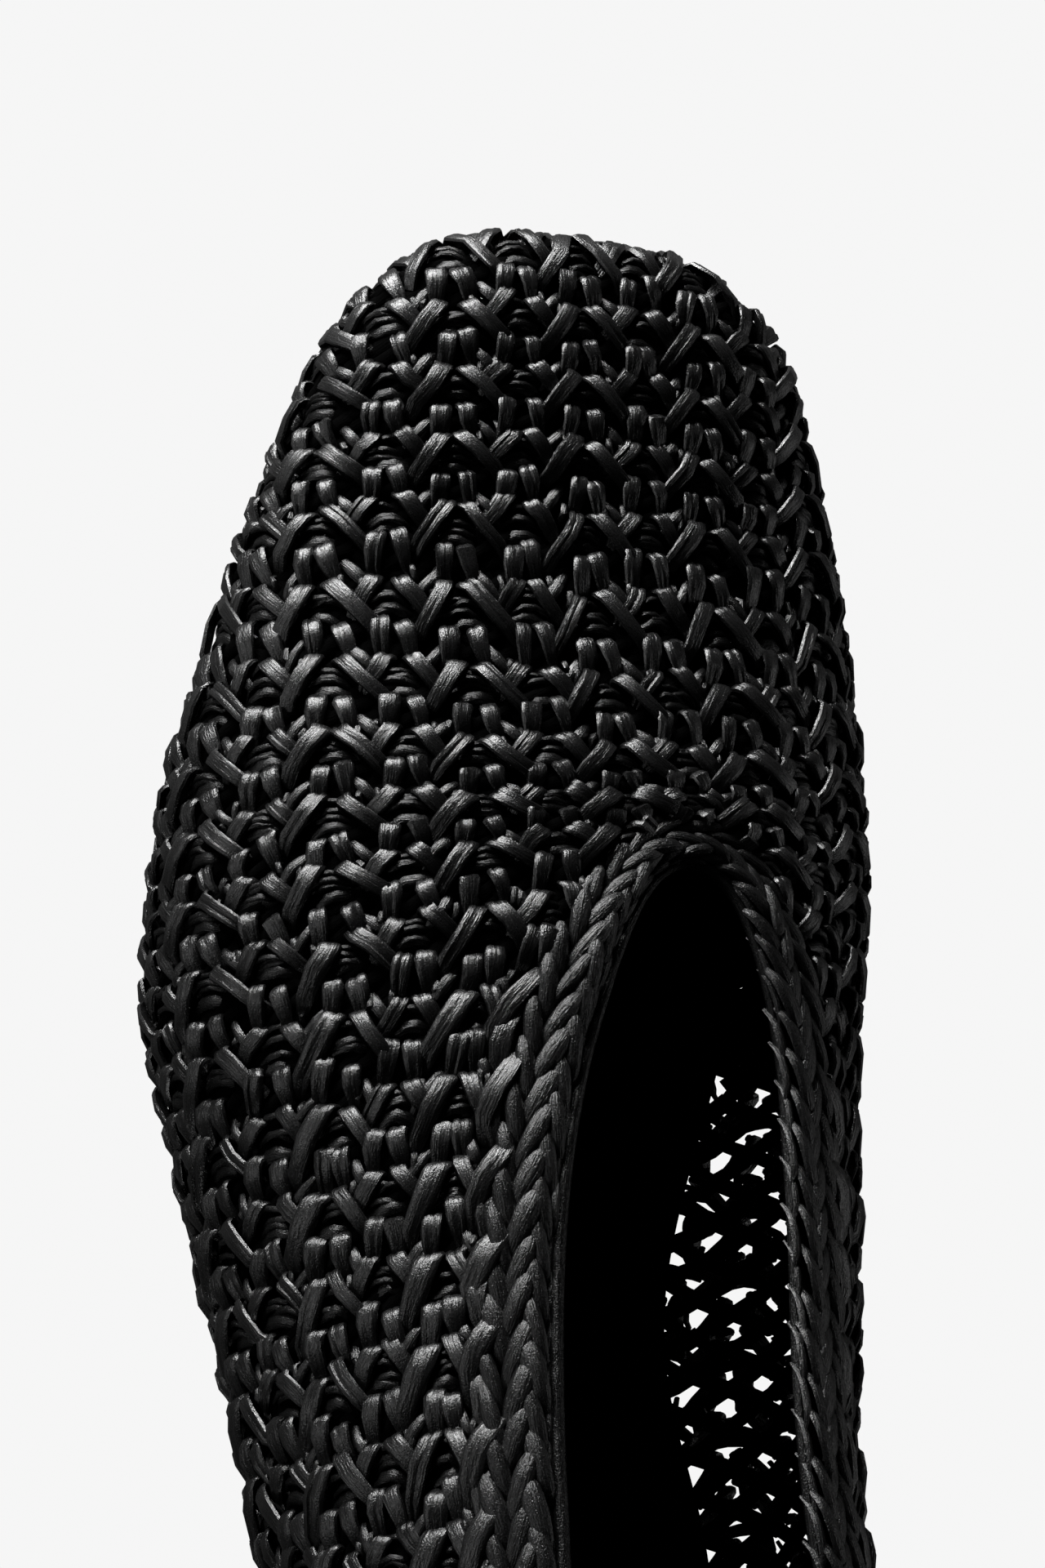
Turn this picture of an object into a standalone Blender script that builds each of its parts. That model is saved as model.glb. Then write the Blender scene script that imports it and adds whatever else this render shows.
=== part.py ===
"""Left shoe with a plaited collar and a low block heel, modelled in metres.

The last stands with its heel back at x = 0 and its toe towards +x. Its outer side is at +y, its inner
side at -y, and the floor is z = 0. One table of sections and a few driving sizes give the last, and every
piece is worked out from it. The whole shoe is then centred on its own footprint.
"""

import bmesh
import bpy
import numpy as np

# Driving sizes of the shoe
LAST_LENGTH = 0.244
HEEL_HEIGHT = 0.040
TOE_SPRING = 0.009
SEAT_SLOPE = 0.12
SEAT_END = 0.055
BALL_START = 0.154
BALL_END = 0.188
GAP = 0.0003

# Thicknesses
UPPER_WALL = 0.003
SOLE_THICKNESS = 0.0032
INSOLE_THICKNESS = 0.0035
TIP_THICKNESS = 0.005

# The ends of the last in plan, as superellipses
TOE_CAP_LENGTH = 0.046
TOE_SQUARENESS = 2.85
HEEL_CAP_LENGTH = 0.034
HEEL_SQUARENESS = 2.2

# Centres from which the wall's spokes fan out at toe and heel
TOE_CENTRE = 0.204
HEEL_CENTRE = 0.034

# How far the wall turns in under its widest line, and how far the sole's edge lies inside that line
UNDERTURN = 0.008
SOLE_INSET = 0.004

# The inner waist, cut in under the arch: its middle, half its length, and how far wall and sole go in
WAIST_MIDDLE = 0.120
WAIST_HALF_LENGTH = 0.035
WALL_WAIST_CUT = 0.006
SOLE_WAIST_CUT = 0.010

# Collar: the tip of the opening, the length over which it rounds, and the plait that edges it
THROAT_TIP = 0.1695
THROAT_ROUNDING = 0.052
THROAT_SQUARENESS = 2.35
COLLAR_BACK = 0.0285
PLAIT_WIDTH = 0.0085
PLAIT_THICKNESS = 0.0045
PLAIT_SEAM = 0.0005

# Heel block: a half-round back and a flat breast, at the seat and at the floor
HEEL_LEVELS = np.array(
    # share of height, back, breast, half width
    [
        (0.00, 0.0050, 0.0500, 0.0250),
        (0.30, 0.0062, 0.0478, 0.0222),
        (0.65, 0.0076, 0.0450, 0.0197),
        (1.00, 0.0090, 0.0425, 0.0185),
    ]
)
HEEL_ROUND_SHARE = 0.62
HEEL_CORNER = 0.0025
TIP_INSET = 0.0004

# Sections of the last from heel to toe. Heights are above the tread line.
SECTION_COLUMNS = (
    "along", "lateral", "medial", "ridge_shift", "ridge_height",
    "widest_height", "roundness", "collar_lateral", "collar_medial",
)
SECTIONS = np.array(
    [
        (0.000, 0.0290, 0.0280, 0.0000, 0.0800, 0.0220, 2.40, 0.0240, 0.0240),
        (0.035, 0.0300, 0.0290, 0.0000, 0.0760, 0.0220, 2.30, 0.0240, 0.0240),
        (0.070, 0.0315, 0.0265, -0.0003, 0.0595, 0.0213, 2.15, 0.0170, 0.0160),
        (0.100, 0.0343, 0.0281, -0.0008, 0.0577, 0.0203, 2.03, 0.0134, 0.0116),
        (0.130, 0.0393, 0.0341, -0.0030, 0.0566, 0.0193, 2.00, 0.0128, 0.0126),
        (0.155, 0.0440, 0.0367, -0.0051, 0.0512, 0.0184, 2.06, 0.0130, 0.0129),
        (0.175, 0.0428, 0.0386, -0.0053, 0.0438, 0.0172, 2.14, 0.0133, 0.0132),
        (0.200, 0.0363, 0.0370, -0.0036, 0.0338, 0.0152, 2.24, 0.0133, 0.0132),
        (0.225, 0.0315, 0.0330, -0.0014, 0.0258, 0.0136, 2.50, 0.0133, 0.0132),
        (0.244, 0.0310, 0.0346, 0.0000, 0.0200, 0.0126, 2.90, 0.0133, 0.0132),
    ]
)

# Mesh counts
FAN_SPOKES = 24
SIDE_STEPS = 12
THROAT_STEPS = 8
VAMP_STEPS = 5
WALL_STEPS = 17
PLAIT_STEPS = 96
PLAIT_SIDES = 10
PROFILE_SAMPLES = 240
FAN_SAMPLES = 400

COLOURS = {
    "upper": ((0.020, 0.020, 0.021), 0.55),
    "collar_plait": ((0.022, 0.022, 0.023), 0.50),
    "insole": ((0.015, 0.015, 0.015), 0.65),
    "outsole": ((0.018, 0.018, 0.018), 0.55),
    "heel": ((0.020, 0.020, 0.021), 0.45),
    "heel_tip": ((0.012, 0.012, 0.012), 0.70),
}


def section_value(x, column):
    """Monotone cubic through one column of the section table."""
    xs = SECTIONS[:, 0]
    ys = SECTIONS[:, SECTION_COLUMNS.index(column)]
    step = np.diff(xs)
    slope = np.diff(ys) / step
    before, after = slope[:-1], slope[1:]
    weight_a, weight_b = 2 * step[1:] + step[:-1], step[1:] + 2 * step[:-1]
    turning = before * after <= 0
    safe_before, safe_after = np.where(turning, 1, before), np.where(turning, 1, after)
    mean = (weight_a + weight_b) / (weight_a / safe_before + weight_b / safe_after)
    tangent = np.concatenate([slope[:1], np.where(turning, 0, mean), slope[-1:]])
    x = np.clip(x, xs[0], xs[-1])
    i = np.clip(np.searchsorted(xs, x) - 1, 0, len(step) - 1)
    t = (x - xs[i]) / step[i]
    return (
        (1 + 2 * t) * (1 - t) ** 2 * ys[i]
        + t * (1 - t) ** 2 * step[i] * tangent[i]
        + t * t * (3 - 2 * t) * ys[i + 1]
        + t * t * (t - 1) * step[i] * tangent[i + 1]
    )


def superellipse(share, power):
    """1 at share 0, falling to 0 at share 1."""
    return (1 - np.clip(share, 0, 1) ** power) ** (1 / power)


def tread(x):
    """Height of the sole's underside: level seat slope, arch, flat ball and toe spring."""
    seat_height = HEEL_HEIGHT - SEAT_SLOPE * SEAT_END
    span = BALL_START - SEAT_END
    t = np.clip((x - SEAT_END) / span, 0, 1)
    arch = (1 + 2 * t) * (1 - t) ** 2 * seat_height - t * (1 - t) ** 2 * span * SEAT_SLOPE
    spring = TOE_SPRING * (np.clip(x - BALL_END, 0, None) / (LAST_LENGTH - BALL_END)) ** 2
    return np.where(x < SEAT_END, HEEL_HEIGHT - SEAT_SLOPE * x, arch + spring)


def feather(x):
    """Height of the last's bottom edge: sole, gap and turned-in wall lie under it."""
    return tread(x) + SOLE_THICKNESS + 2 * GAP + UPPER_WALL


def half_width(x, column):
    """Half width of the last's widest line, closed at both ends by superellipses."""
    toe = superellipse((x - LAST_LENGTH + TOE_CAP_LENGTH) / TOE_CAP_LENGTH, TOE_SQUARENESS)
    heel = superellipse((HEEL_CAP_LENGTH - x) / HEEL_CAP_LENGTH, HEEL_SQUARENESS)
    return section_value(x, column) * toe * heel


def fan(centre_x, end_x, angles):
    """Points of the widest line seen at these angles from a fan's centre; angle 0 points to the toe."""
    swing = (1 - np.cos(np.linspace(0, np.pi / 2, FAN_SAMPLES))) / (1 - np.cos(np.pi / 2))
    x = end_x + (centre_x - end_x) * swing**2
    centre_y = section_value(np.array([centre_x]), "ridge_shift")[0]
    outer = np.stack([x, half_width(x, "lateral")], -1)[::-1]
    inner = np.stack([x, -half_width(x, "medial")], -1)[1:]
    rim = np.concatenate([outer, inner]) - (centre_x, centre_y)
    facing = 1 if end_x > centre_x else -1
    seen = np.arctan2(facing * rim[:, 1], facing * rim[:, 0])
    order = np.argsort(seen)
    radius = np.interp(angles, seen[order], np.hypot(*rim.T)[order])
    reach = facing * radius
    return np.stack([centre_x + reach * np.cos(angles), centre_y + reach * np.sin(angles)], -1)


def side_stations():
    """Places along the side where a spoke stands, crowded where the throat rounds."""
    ahead = np.linspace(0, 2 * PLAIT_WIDTH, 100)
    rise = ridge(THROAT_TIP + ahead) - ridge(np.array(THROAT_TIP))
    edge = THROAT_TIP + np.interp(PLAIT_WIDTH + PLAIT_SEAM, np.hypot(ahead, rise), ahead)
    start = edge - THROAT_ROUNDING
    quarter = np.linspace(HEEL_CENTRE, start, SIDE_STEPS, endpoint=False)
    throat = edge - THROAT_ROUNDING * (1 - np.sin(np.linspace(0, np.pi / 2, THROAT_STEPS)))
    vamp = np.linspace(edge, TOE_CENTRE, VAMP_STEPS + 1)[1:]
    return np.concatenate([quarter, throat, vamp])


def spokes():
    """The widest line as a closed loop: heel back, outer side, toe and inner side."""
    stations = side_stations()
    turn = np.linspace(0, np.pi / 2, FAN_SPOKES // 2 + 1)
    heel_outer = fan(HEEL_CENTRE, 0.0, -turn)[:-1]
    heel_inner = fan(HEEL_CENTRE, 0.0, turn[::-1])[1:-1]
    toe = fan(TOE_CENTRE, LAST_LENGTH, np.linspace(np.pi / 2, -np.pi / 2, FAN_SPOKES + 1))[1:-1]
    outer = np.stack([stations, half_width(stations, "lateral")], -1)
    inner = np.stack([stations, -half_width(stations, "medial")], -1)[::-1]
    return np.concatenate([heel_outer, outer, toe, inner, heel_inner])


def spoke_axes(loop):
    """Centre, unit direction and length of each spoke."""
    x = np.clip(loop[:, 0], HEEL_CENTRE, TOE_CENTRE)
    centre = np.stack([x, section_value(x, "ridge_shift")], -1)
    reach = loop - centre
    length = np.hypot(*reach.T)
    return centre, reach / length[:, None], length


def waist_share(loop):
    """Squared cosine along the inner side: 1 at the waist's middle, 0 at its ends; 0 on the outer side."""
    off = np.clip(np.abs(loop[:, 0] - WAIST_MIDDLE) / WAIST_HALF_LENGTH, 0, 1)
    return np.where(loop[:, 1] < 0, np.cos(off * np.pi / 2) ** 2, 0)


def ridge(x):
    """Height of the last's top line."""
    return tread(x) + section_value(x, "ridge_height")


def wall_profiles(loop):
    """Fine points down each spoke, from the ridge over the widest line to the feather edge."""
    centre, direction, length = spoke_axes(loop)
    half = PROFILE_SAMPLES // 2
    above = np.linspace(np.pi / 2, 0, half, endpoint=False)
    below = np.linspace(0, np.pi / 2, half)
    x = loop[:, :1]
    power = 2 / section_value(x, "roundness")
    widest = tread(x) + section_value(x, "widest_height")
    upper_reach = length[:, None] * np.cos(above) ** power
    turned_in = UNDERTURN + WALL_WAIST_CUT * waist_share(loop)
    lower_reach = length[:, None] - turned_in[:, None] * (1 - np.cos(below))
    reach = np.concatenate([upper_reach, lower_reach], 1)
    plan = centre[:, None] + direction[:, None] * reach[..., None]
    top = ridge(plan[:, :half, 0])
    upper_height = widest + (top - widest) * np.sin(above) ** power
    lower_height = widest - (widest - feather(plan[:, half:, 0])) * np.sin(below)
    height = np.concatenate([upper_height, lower_height], 1)
    return np.concatenate([plan, height[..., None]], -1)


def last_height(x, y):
    """Height of the last's upper face over a plan point inside the widest line."""
    centre_x = np.clip(x, HEEL_CENTRE, TOE_CENTRE)
    centre_y = section_value(centre_x, "ridge_shift")
    out_x, out_y = x - centre_x, y - centre_y
    angle = np.arctan2(out_y, out_x)
    side = np.where(out_y >= 0, half_width(x, "lateral") - centre_y, half_width(x, "medial") + centre_y)
    heel = fan(HEEL_CENTRE, 0.0, np.arctan2(-out_y, -out_x)) - (HEEL_CENTRE, 0)
    toe = fan(TOE_CENTRE, LAST_LENGTH, angle) - np.stack([centre_x, centre_y], -1)
    length = np.where(x < HEEL_CENTRE, np.hypot(*heel.T), np.where(x > TOE_CENTRE, np.hypot(*toe.T), side))
    rim_x = centre_x + np.where(out_x == 0, 0, np.cos(angle) * length)
    widest = tread(rim_x) + section_value(rim_x, "widest_height")
    rise = superellipse(np.hypot(out_x, out_y) / length, section_value(rim_x, "roundness"))
    return widest + (ridge(x) - widest) * rise


def collar_line(count):
    """The opening's edge on the last, evenly spaced, from the throat's tip round the heel and back."""
    inset = THROAT_ROUNDING * (1 - np.cos(np.linspace(0, np.pi / 2, PLAIT_STEPS)))
    straight = np.linspace(THROAT_TIP - THROAT_ROUNDING, HEEL_CENTRE, PLAIT_STEPS)[1:]
    x = np.concatenate([THROAT_TIP - inset, straight])
    share = (x - THROAT_TIP + THROAT_ROUNDING) / THROAT_ROUNDING
    rounding = superellipse(share, THROAT_SQUARENESS)
    middle = section_value(x, "ridge_shift")
    outer = np.stack([x, middle + section_value(x, "collar_lateral") * rounding], -1)
    inner = np.stack([x, middle - section_value(x, "collar_medial") * rounding], -1)
    turn = np.linspace(np.pi / 2, -np.pi / 2, PLAIT_STEPS)[1:-1]
    back = np.stack([HEEL_CENTRE - COLLAR_BACK * np.cos(turn), outer[-1, 1] * np.sin(turn)], -1)
    plan = np.concatenate([outer, back, inner[:0:-1]])
    points = np.column_stack([plan, last_height(*plan.T)])
    return resample_loop(points, count)


def resample_loop(points, count):
    """Evenly spaced points along a closed line."""
    closed = np.concatenate([points, points[:1]])
    run = np.concatenate([[0], np.cumsum(np.linalg.norm(np.diff(closed, axis=0), axis=1))])
    places = np.linspace(0, run[-1], count, endpoint=False)
    return np.stack([np.interp(places, run, closed[:, k]) for k in range(3)], -1)


def last_normals(points):
    """Unit normals of the last's upper face at points on it."""
    step = 0.0004
    x, y = points[:, 0], points[:, 1]
    slope_x = (last_height(x + step, y) - last_height(x - step, y)) / (2 * step)
    slope_y = (last_height(x, y + step) - last_height(x, y - step)) / (2 * step)
    normal = np.stack([-slope_x, -slope_y, np.ones_like(x)], -1)
    return normal / np.linalg.norm(normal, axis=1)[:, None]


def wall_grid(loop, collar):
    """Evenly spaced rows down the wall, from a plait's width below the collar to the feather edge."""
    keep_off = PLAIT_WIDTH + PLAIT_SEAM
    rows = []
    for profile in wall_profiles(loop):
        gap = np.linalg.norm(profile[:, None] - collar[None], axis=2).min(1)
        open_part = (gap < keep_off) | inside_collar(profile, collar)
        blocked = np.flatnonzero(open_part[: PROFILE_SAMPLES // 2])
        first = blocked[-1] + 1 if len(blocked) else 0
        line = profile[first:]
        if first:
            share = (keep_off - gap[first - 1]) / (gap[first] - gap[first - 1])
            line = np.vstack([profile[first - 1] + share * (profile[first] - profile[first - 1]), line])
        run = np.concatenate([[0], np.cumsum(np.linalg.norm(np.diff(line, axis=0), axis=1))])
        places = np.linspace(0, run[-1], WALL_STEPS + 1)
        rows.append(np.stack([np.interp(places, run, line[:, k]) for k in range(3)], -1))
    return np.array(rows)


def inside_collar(points, collar):
    """True for points whose plan place lies inside the opening, by counting crossings."""
    ax, ay = collar[:, 0], collar[:, 1]
    bx, by = np.roll(ax, -1), np.roll(ay, -1)
    px, py = points[:, :1], points[:, 1:2]
    spans = (ay > py) != (by > py)
    rise = np.where(by == ay, 1, by - ay)
    crossing = ax + (py - ay) / rise * (bx - ax)
    return (spans & (px < crossing)).sum(1) % 2 == 1


def grid_faces(rows, columns):
    """Quads of a grid that closes on itself along its rows."""
    i, j = np.meshgrid(np.arange(rows), np.arange(columns - 1), indexing="ij")
    after = (i + 1) % rows
    quads = np.stack([i * columns + j, i * columns + j + 1, after * columns + j + 1, after * columns + j], -1)
    return quads.reshape(-1, 4)


def solid(name, points, faces, parent):
    """One named object with its own finish; doubled points are merged and its faces point outwards."""
    mesh = bpy.data.meshes.new(name)
    mesh.from_pydata(np.asarray(points).tolist(), [], [list(map(int, face)) for face in faces])
    shape = bmesh.new()
    shape.from_mesh(mesh)
    bmesh.ops.remove_doubles(shape, verts=shape.verts, dist=0.00002)
    bmesh.ops.recalc_face_normals(shape, faces=shape.faces)
    shape.to_mesh(mesh)
    shape.free()
    mesh.shade_smooth()
    mesh.set_sharp_from_angle(angle=np.radians(40))
    piece = bpy.data.objects.new(name, mesh)
    bpy.context.scene.collection.objects.link(piece)
    piece.parent = parent
    colour, roughness = COLOURS[name]
    finish = bpy.data.materials.new(name)
    finish.use_nodes = True
    shader = finish.node_tree.nodes["Principled BSDF"]
    shader.inputs["Base Color"].default_value = (*colour, 1)
    shader.inputs["Roughness"].default_value = roughness
    mesh.materials.append(finish)
    return piece


def build_upper(loop, collar, parent):
    """The close weave as one wall on the last, open at the mouth and underneath."""
    grid = wall_grid(loop, collar)
    rows, columns = grid.shape[:2]
    upper = solid("upper", grid.reshape(-1, 3), grid_faces(rows, columns), parent)
    lowest = min(upper.data.polygons, key=lambda face: face.center.z)
    thickness = upper.modifiers.new("wall", "SOLIDIFY")
    thickness.thickness = UPPER_WALL
    thickness.offset = 1 if lowest.normal.z < 0 else -1
    thickness.use_even_offset = True
    return upper


def build_plait(collar, parent):
    """The plait round the mouth: a flat oval carried along the collar line, on the last's own surface."""
    normal = last_normals(collar)
    along = np.roll(collar, -1, 0) - np.roll(collar, 1, 0)
    along /= np.linalg.norm(along, axis=1)[:, None]
    away = np.cross(along, normal)
    away /= np.linalg.norm(away, axis=1)[:, None]
    middle = collar + away * PLAIT_WIDTH / 2 + normal * UPPER_WALL / 2
    turn = np.linspace(0, 2 * np.pi, PLAIT_SIDES, endpoint=False) + np.pi / PLAIT_SIDES
    across = np.sign(np.cos(turn)) * np.abs(np.cos(turn)) ** 0.7 * PLAIT_WIDTH / 2
    proud = np.sign(np.sin(turn)) * np.abs(np.sin(turn)) ** 0.7 * PLAIT_THICKNESS / 2
    rings = middle[:, None] + away[:, None] * across[:, None] + normal[:, None] * proud[:, None]
    rings = np.concatenate([rings, rings[:, :1]], 1)
    return solid("collar_plait", rings.reshape(-1, 3), grid_faces(*rings.shape[:2]), parent)


def plate(name, loop, inset, underside, thickness, parent):
    """A plate that follows the bottom of the last, inside its widest line by an inset for each spoke."""
    centre, direction, length = spoke_axes(loop)
    shares = (0.0, 0.55, 1.0)
    plan = np.stack([centre + direction * ((length - inset) * share)[:, None] for share in shares], 1)
    below = np.concatenate([plan, underside(plan[..., :1])], -1)
    above = below + (0, 0, thickness)
    rings = np.concatenate([below, above[:, ::-1]], 1)
    return solid(name, rings.reshape(-1, 3), grid_faces(*rings.shape[:2]), parent)


def build_insole(loop, parent):
    """The insole board, lying on the sole inside the turned-in edge of the upper."""
    inset = UNDERTURN + 2 * GAP + WALL_WAIST_CUT * waist_share(loop)
    return plate("insole", loop, inset, lambda x: feather(x) - UPPER_WALL, INSOLE_THICKNESS, parent)


def build_outsole(loop, parent):
    """The full-length outsole, flat under the ball and cut in at the waist."""
    inset = SOLE_INSET + SOLE_WAIST_CUT * waist_share(loop)
    return plate("outsole", loop, inset, tread, SOLE_THICKNESS, parent)


def heel_outline(back, breast, half):
    """Plan of the heel: half an ellipse at the back, straight sides and a breast with rounded corners."""
    depth = HEEL_ROUND_SHARE * (breast - back)
    turn = np.linspace(np.pi / 2, 3 * np.pi / 2, 17)
    rear = np.stack([back + depth + depth * np.cos(turn), half * np.sin(turn)], -1)
    bend = np.linspace(-np.pi / 2, 0, 4)
    corner = np.stack([breast - HEEL_CORNER + HEEL_CORNER * np.cos(bend), HEEL_CORNER * np.sin(bend)], -1)
    inner = corner + (0, HEEL_CORNER - half)
    outer = (corner * (1, -1) + (0, half - HEEL_CORNER))[::-1]
    return np.concatenate([rear, inner, outer])


def stacked(name, rings, parent):
    """A closed solid through rings of equal count, capped at both ends."""
    rings = np.array(rings)
    levels, count = rings.shape[:2]
    swapped = np.swapaxes(rings, 0, 1)
    faces = [list(face) for face in grid_faces(count, levels)]
    ends = [np.arange(count) * levels, np.arange(count)[::-1] * levels + levels - 1]
    return solid(name, swapped.reshape(-1, 3), faces + [list(end) for end in ends], parent)


def build_heel(parent):
    """The block heel, from the sloping seat of the sole down to its top piece."""
    rings = []
    for share, back, breast, half in HEEL_LEVELS:
        plan = heel_outline(back, breast, half)
        seat = tread(plan[:, 0]) - GAP
        height = seat + share * (TIP_THICKNESS + GAP - seat)
        rings.append(np.column_stack([plan, height]))
    return stacked("heel", rings, parent)


def build_heel_tip(parent):
    """The wearing piece under the heel, with a flat face on the floor."""
    _, back, breast, half = HEEL_LEVELS[-1]
    plan = heel_outline(back + TIP_INSET, breast - TIP_INSET, half - TIP_INSET)
    rings = [np.column_stack([plan, np.full(len(plan), height)]) for height in (TIP_THICKNESS, 0.0)]
    return stacked("heel_tip", rings, parent)


def centre_on_footprint(parent, pieces):
    """Moves the parent so that the shoe's box is centred over the origin."""
    bpy.context.view_layer.update()
    graph = bpy.context.evaluated_depsgraph_get()
    corners = np.array([corner for piece in pieces for corner in piece.evaluated_get(graph).bound_box])
    middle = (corners.min(0) + corners.max(0)) / 2
    parent.location = (-middle[0], -middle[1], 0)


def main():
    for old in list(bpy.data.objects):
        bpy.data.objects.remove(old)
    shoe = bpy.data.objects.new("shoe", None)
    bpy.context.scene.collection.objects.link(shoe)
    loop = spokes()
    pieces = [
        build_upper(loop, collar_line(10 * PLAIT_STEPS), shoe),
        build_plait(collar_line(PLAIT_STEPS), shoe),
        build_insole(loop, shoe),
        build_outsole(loop, shoe),
        build_heel(shoe),
        build_heel_tip(shoe),
    ]
    centre_on_footprint(shoe, pieces)


main()
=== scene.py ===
# %% [markdown]
# # A shoe looped from leather strips
# This lesson dresses a packed shoe. The solids give the sizes; here every strip of the openwork upper is
# laid on the last one by one, so that light falls through the real holes between them. We work in metres,
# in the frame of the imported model: the toe points to +X, the outer side of the foot is +Y, up is +Z. It is
# a left shoe. Every cell builds on the ones above it and prints what it made or measured.

import bpy
import numpy as np
from mathutils import Matrix, Vector


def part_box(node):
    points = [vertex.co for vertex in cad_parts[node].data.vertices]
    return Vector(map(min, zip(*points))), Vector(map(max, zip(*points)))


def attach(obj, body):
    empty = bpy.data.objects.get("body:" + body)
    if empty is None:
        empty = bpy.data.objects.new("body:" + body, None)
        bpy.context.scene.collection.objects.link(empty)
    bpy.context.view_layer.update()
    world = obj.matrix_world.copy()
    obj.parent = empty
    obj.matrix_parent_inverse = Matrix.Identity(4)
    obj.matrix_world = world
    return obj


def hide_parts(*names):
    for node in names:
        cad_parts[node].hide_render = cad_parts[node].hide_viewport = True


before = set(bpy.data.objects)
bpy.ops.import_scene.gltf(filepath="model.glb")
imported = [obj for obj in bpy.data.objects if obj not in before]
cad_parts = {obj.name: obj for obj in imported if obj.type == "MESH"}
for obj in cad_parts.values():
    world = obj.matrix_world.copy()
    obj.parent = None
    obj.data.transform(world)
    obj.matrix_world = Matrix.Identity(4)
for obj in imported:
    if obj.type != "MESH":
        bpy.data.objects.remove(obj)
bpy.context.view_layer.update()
tip_low, tip_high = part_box("heel_tip")
# The solid of the tip starts this far ahead of the last's heel back, where all lengths below begin
TIP_BACK = 0.0094
home = np.array([tip_low.x - TIP_BACK, (tip_low.y + tip_high.y) / 2, 0.0])
print("the last's heel back stands at", home.round(5))

# %% [markdown]
# ## The last
# A shoe is built on a last, a solid foot shape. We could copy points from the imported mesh, but its facets
# are coarse. So the last is worked out again from the same short table of sections, heel to toe. A
# monotone cubic runs through each column, so that no bump appears between two rows.

# %% The table of sections
SECTION_COLUMNS = (
    "along", "lateral", "medial", "ridge_shift", "ridge_height",
    "widest_height", "roundness", "collar_lateral", "collar_medial",
)
SECTIONS = np.array(
    [
        (0.000, 0.0290, 0.0280, 0.0000, 0.0800, 0.0220, 2.40, 0.0240, 0.0240),
        (0.035, 0.0300, 0.0290, 0.0000, 0.0760, 0.0220, 2.30, 0.0240, 0.0240),
        (0.070, 0.0315, 0.0265, -0.0003, 0.0595, 0.0213, 2.15, 0.0170, 0.0160),
        (0.100, 0.0343, 0.0281, -0.0008, 0.0577, 0.0203, 2.03, 0.0134, 0.0116),
        (0.130, 0.0393, 0.0341, -0.0030, 0.0566, 0.0193, 2.00, 0.0128, 0.0126),
        (0.155, 0.0440, 0.0367, -0.0051, 0.0512, 0.0184, 2.06, 0.0130, 0.0129),
        (0.175, 0.0428, 0.0386, -0.0053, 0.0438, 0.0172, 2.14, 0.0133, 0.0132),
        (0.200, 0.0363, 0.0370, -0.0036, 0.0338, 0.0152, 2.24, 0.0133, 0.0132),
        (0.225, 0.0315, 0.0330, -0.0014, 0.0258, 0.0136, 2.50, 0.0133, 0.0132),
        (0.244, 0.0310, 0.0346, 0.0000, 0.0200, 0.0126, 2.90, 0.0133, 0.0132),
    ]
)


def smooth_table(x, xs, ys):
    """Monotone cubic through the points: the slope at a point is the harmonic mean of its two chords."""
    step = np.diff(xs)
    slope = np.diff(ys) / step
    before, after = slope[:-1], slope[1:]
    weight_a, weight_b = 2 * step[1:] + step[:-1], step[1:] + 2 * step[:-1]
    turning = before * after <= 0
    parts = weight_a / np.where(turning, 1, before) + weight_b / np.where(turning, 1, after)
    mean = np.where(turning, 0, (weight_a + weight_b) / parts)
    tangent = np.concatenate([slope[:1], mean, slope[-1:]])
    x = np.clip(x, xs[0], xs[-1])
    i = np.clip(np.searchsorted(xs, x) - 1, 0, len(step) - 1)
    t = (x - xs[i]) / step[i]
    value = (1 + 2 * t) * (1 - t) ** 2 * ys[i] + t * t * (3 - 2 * t) * ys[i + 1]
    return value + step[i] * (t * (1 - t) ** 2 * tangent[i] + t * t * (t - 1) * tangent[i + 1])


def section(x, column):
    """One column of the last's table at x."""
    return smooth_table(x, SECTIONS[:, 0], SECTIONS[:, SECTION_COLUMNS.index(column)])


print(len(SECTIONS), "sections; ball width", round(float(sum(SECTIONS[5, 1:3])), 4))

# %% [markdown]
# ## Tread line and widest line
# Two lines hold the sections together. The tread line is the underside of the sole seen from the side:
# sloping heel seat, arch, flat ball, toe spring. The widest line is the foot's outline seen from above.
# Both could be drawn by hand as curves; as formulas they can be read at any place, and they stay smooth
# there.

# %% Tread line and widest line
LAST_LENGTH = 0.244
HEEL_HEIGHT = 0.040
TOE_SPRING = 0.009
SEAT_SLOPE, SEAT_END = 0.12, 0.055
BALL_START, BALL_END = 0.154, 0.188
TOE_CAP, TOE_SQUARE, TOE_CENTRE = 0.046, 2.85, 0.204
HEEL_CAP, HEEL_SQUARE, HEEL_CENTRE = 0.034, 2.2, 0.034
FAN_POINTS = 600


def rounding(share, power):
    """Superellipse: the power-th root of 1 - share^power."""
    return (1 - np.clip(share, 0, 1) ** power) ** (1 / power)


def tread(x):
    """Sole underside: straight seat, cubic arch, flat ball, a spring that grows with distance squared."""
    seat = HEEL_HEIGHT - SEAT_SLOPE * SEAT_END
    span = BALL_START - SEAT_END
    t = np.clip((x - SEAT_END) / span, 0, 1)
    arch = (1 + 2 * t) * (1 - t) ** 2 * seat - t * (1 - t) ** 2 * span * SEAT_SLOPE
    spring = TOE_SPRING * (np.clip(x - BALL_END, 0, None) / (LAST_LENGTH - BALL_END)) ** 2
    return np.where(x < SEAT_END, HEEL_HEIGHT - SEAT_SLOPE * x, arch + spring)


def half_width(x, column):
    """Table value, closed by a superellipse at each end."""
    toe = rounding((x - LAST_LENGTH + TOE_CAP) / TOE_CAP, TOE_SQUARE)
    heel = rounding((HEEL_CAP - x) / HEEL_CAP, HEEL_SQUARE)
    return section(x, column) * toe * heel


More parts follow.
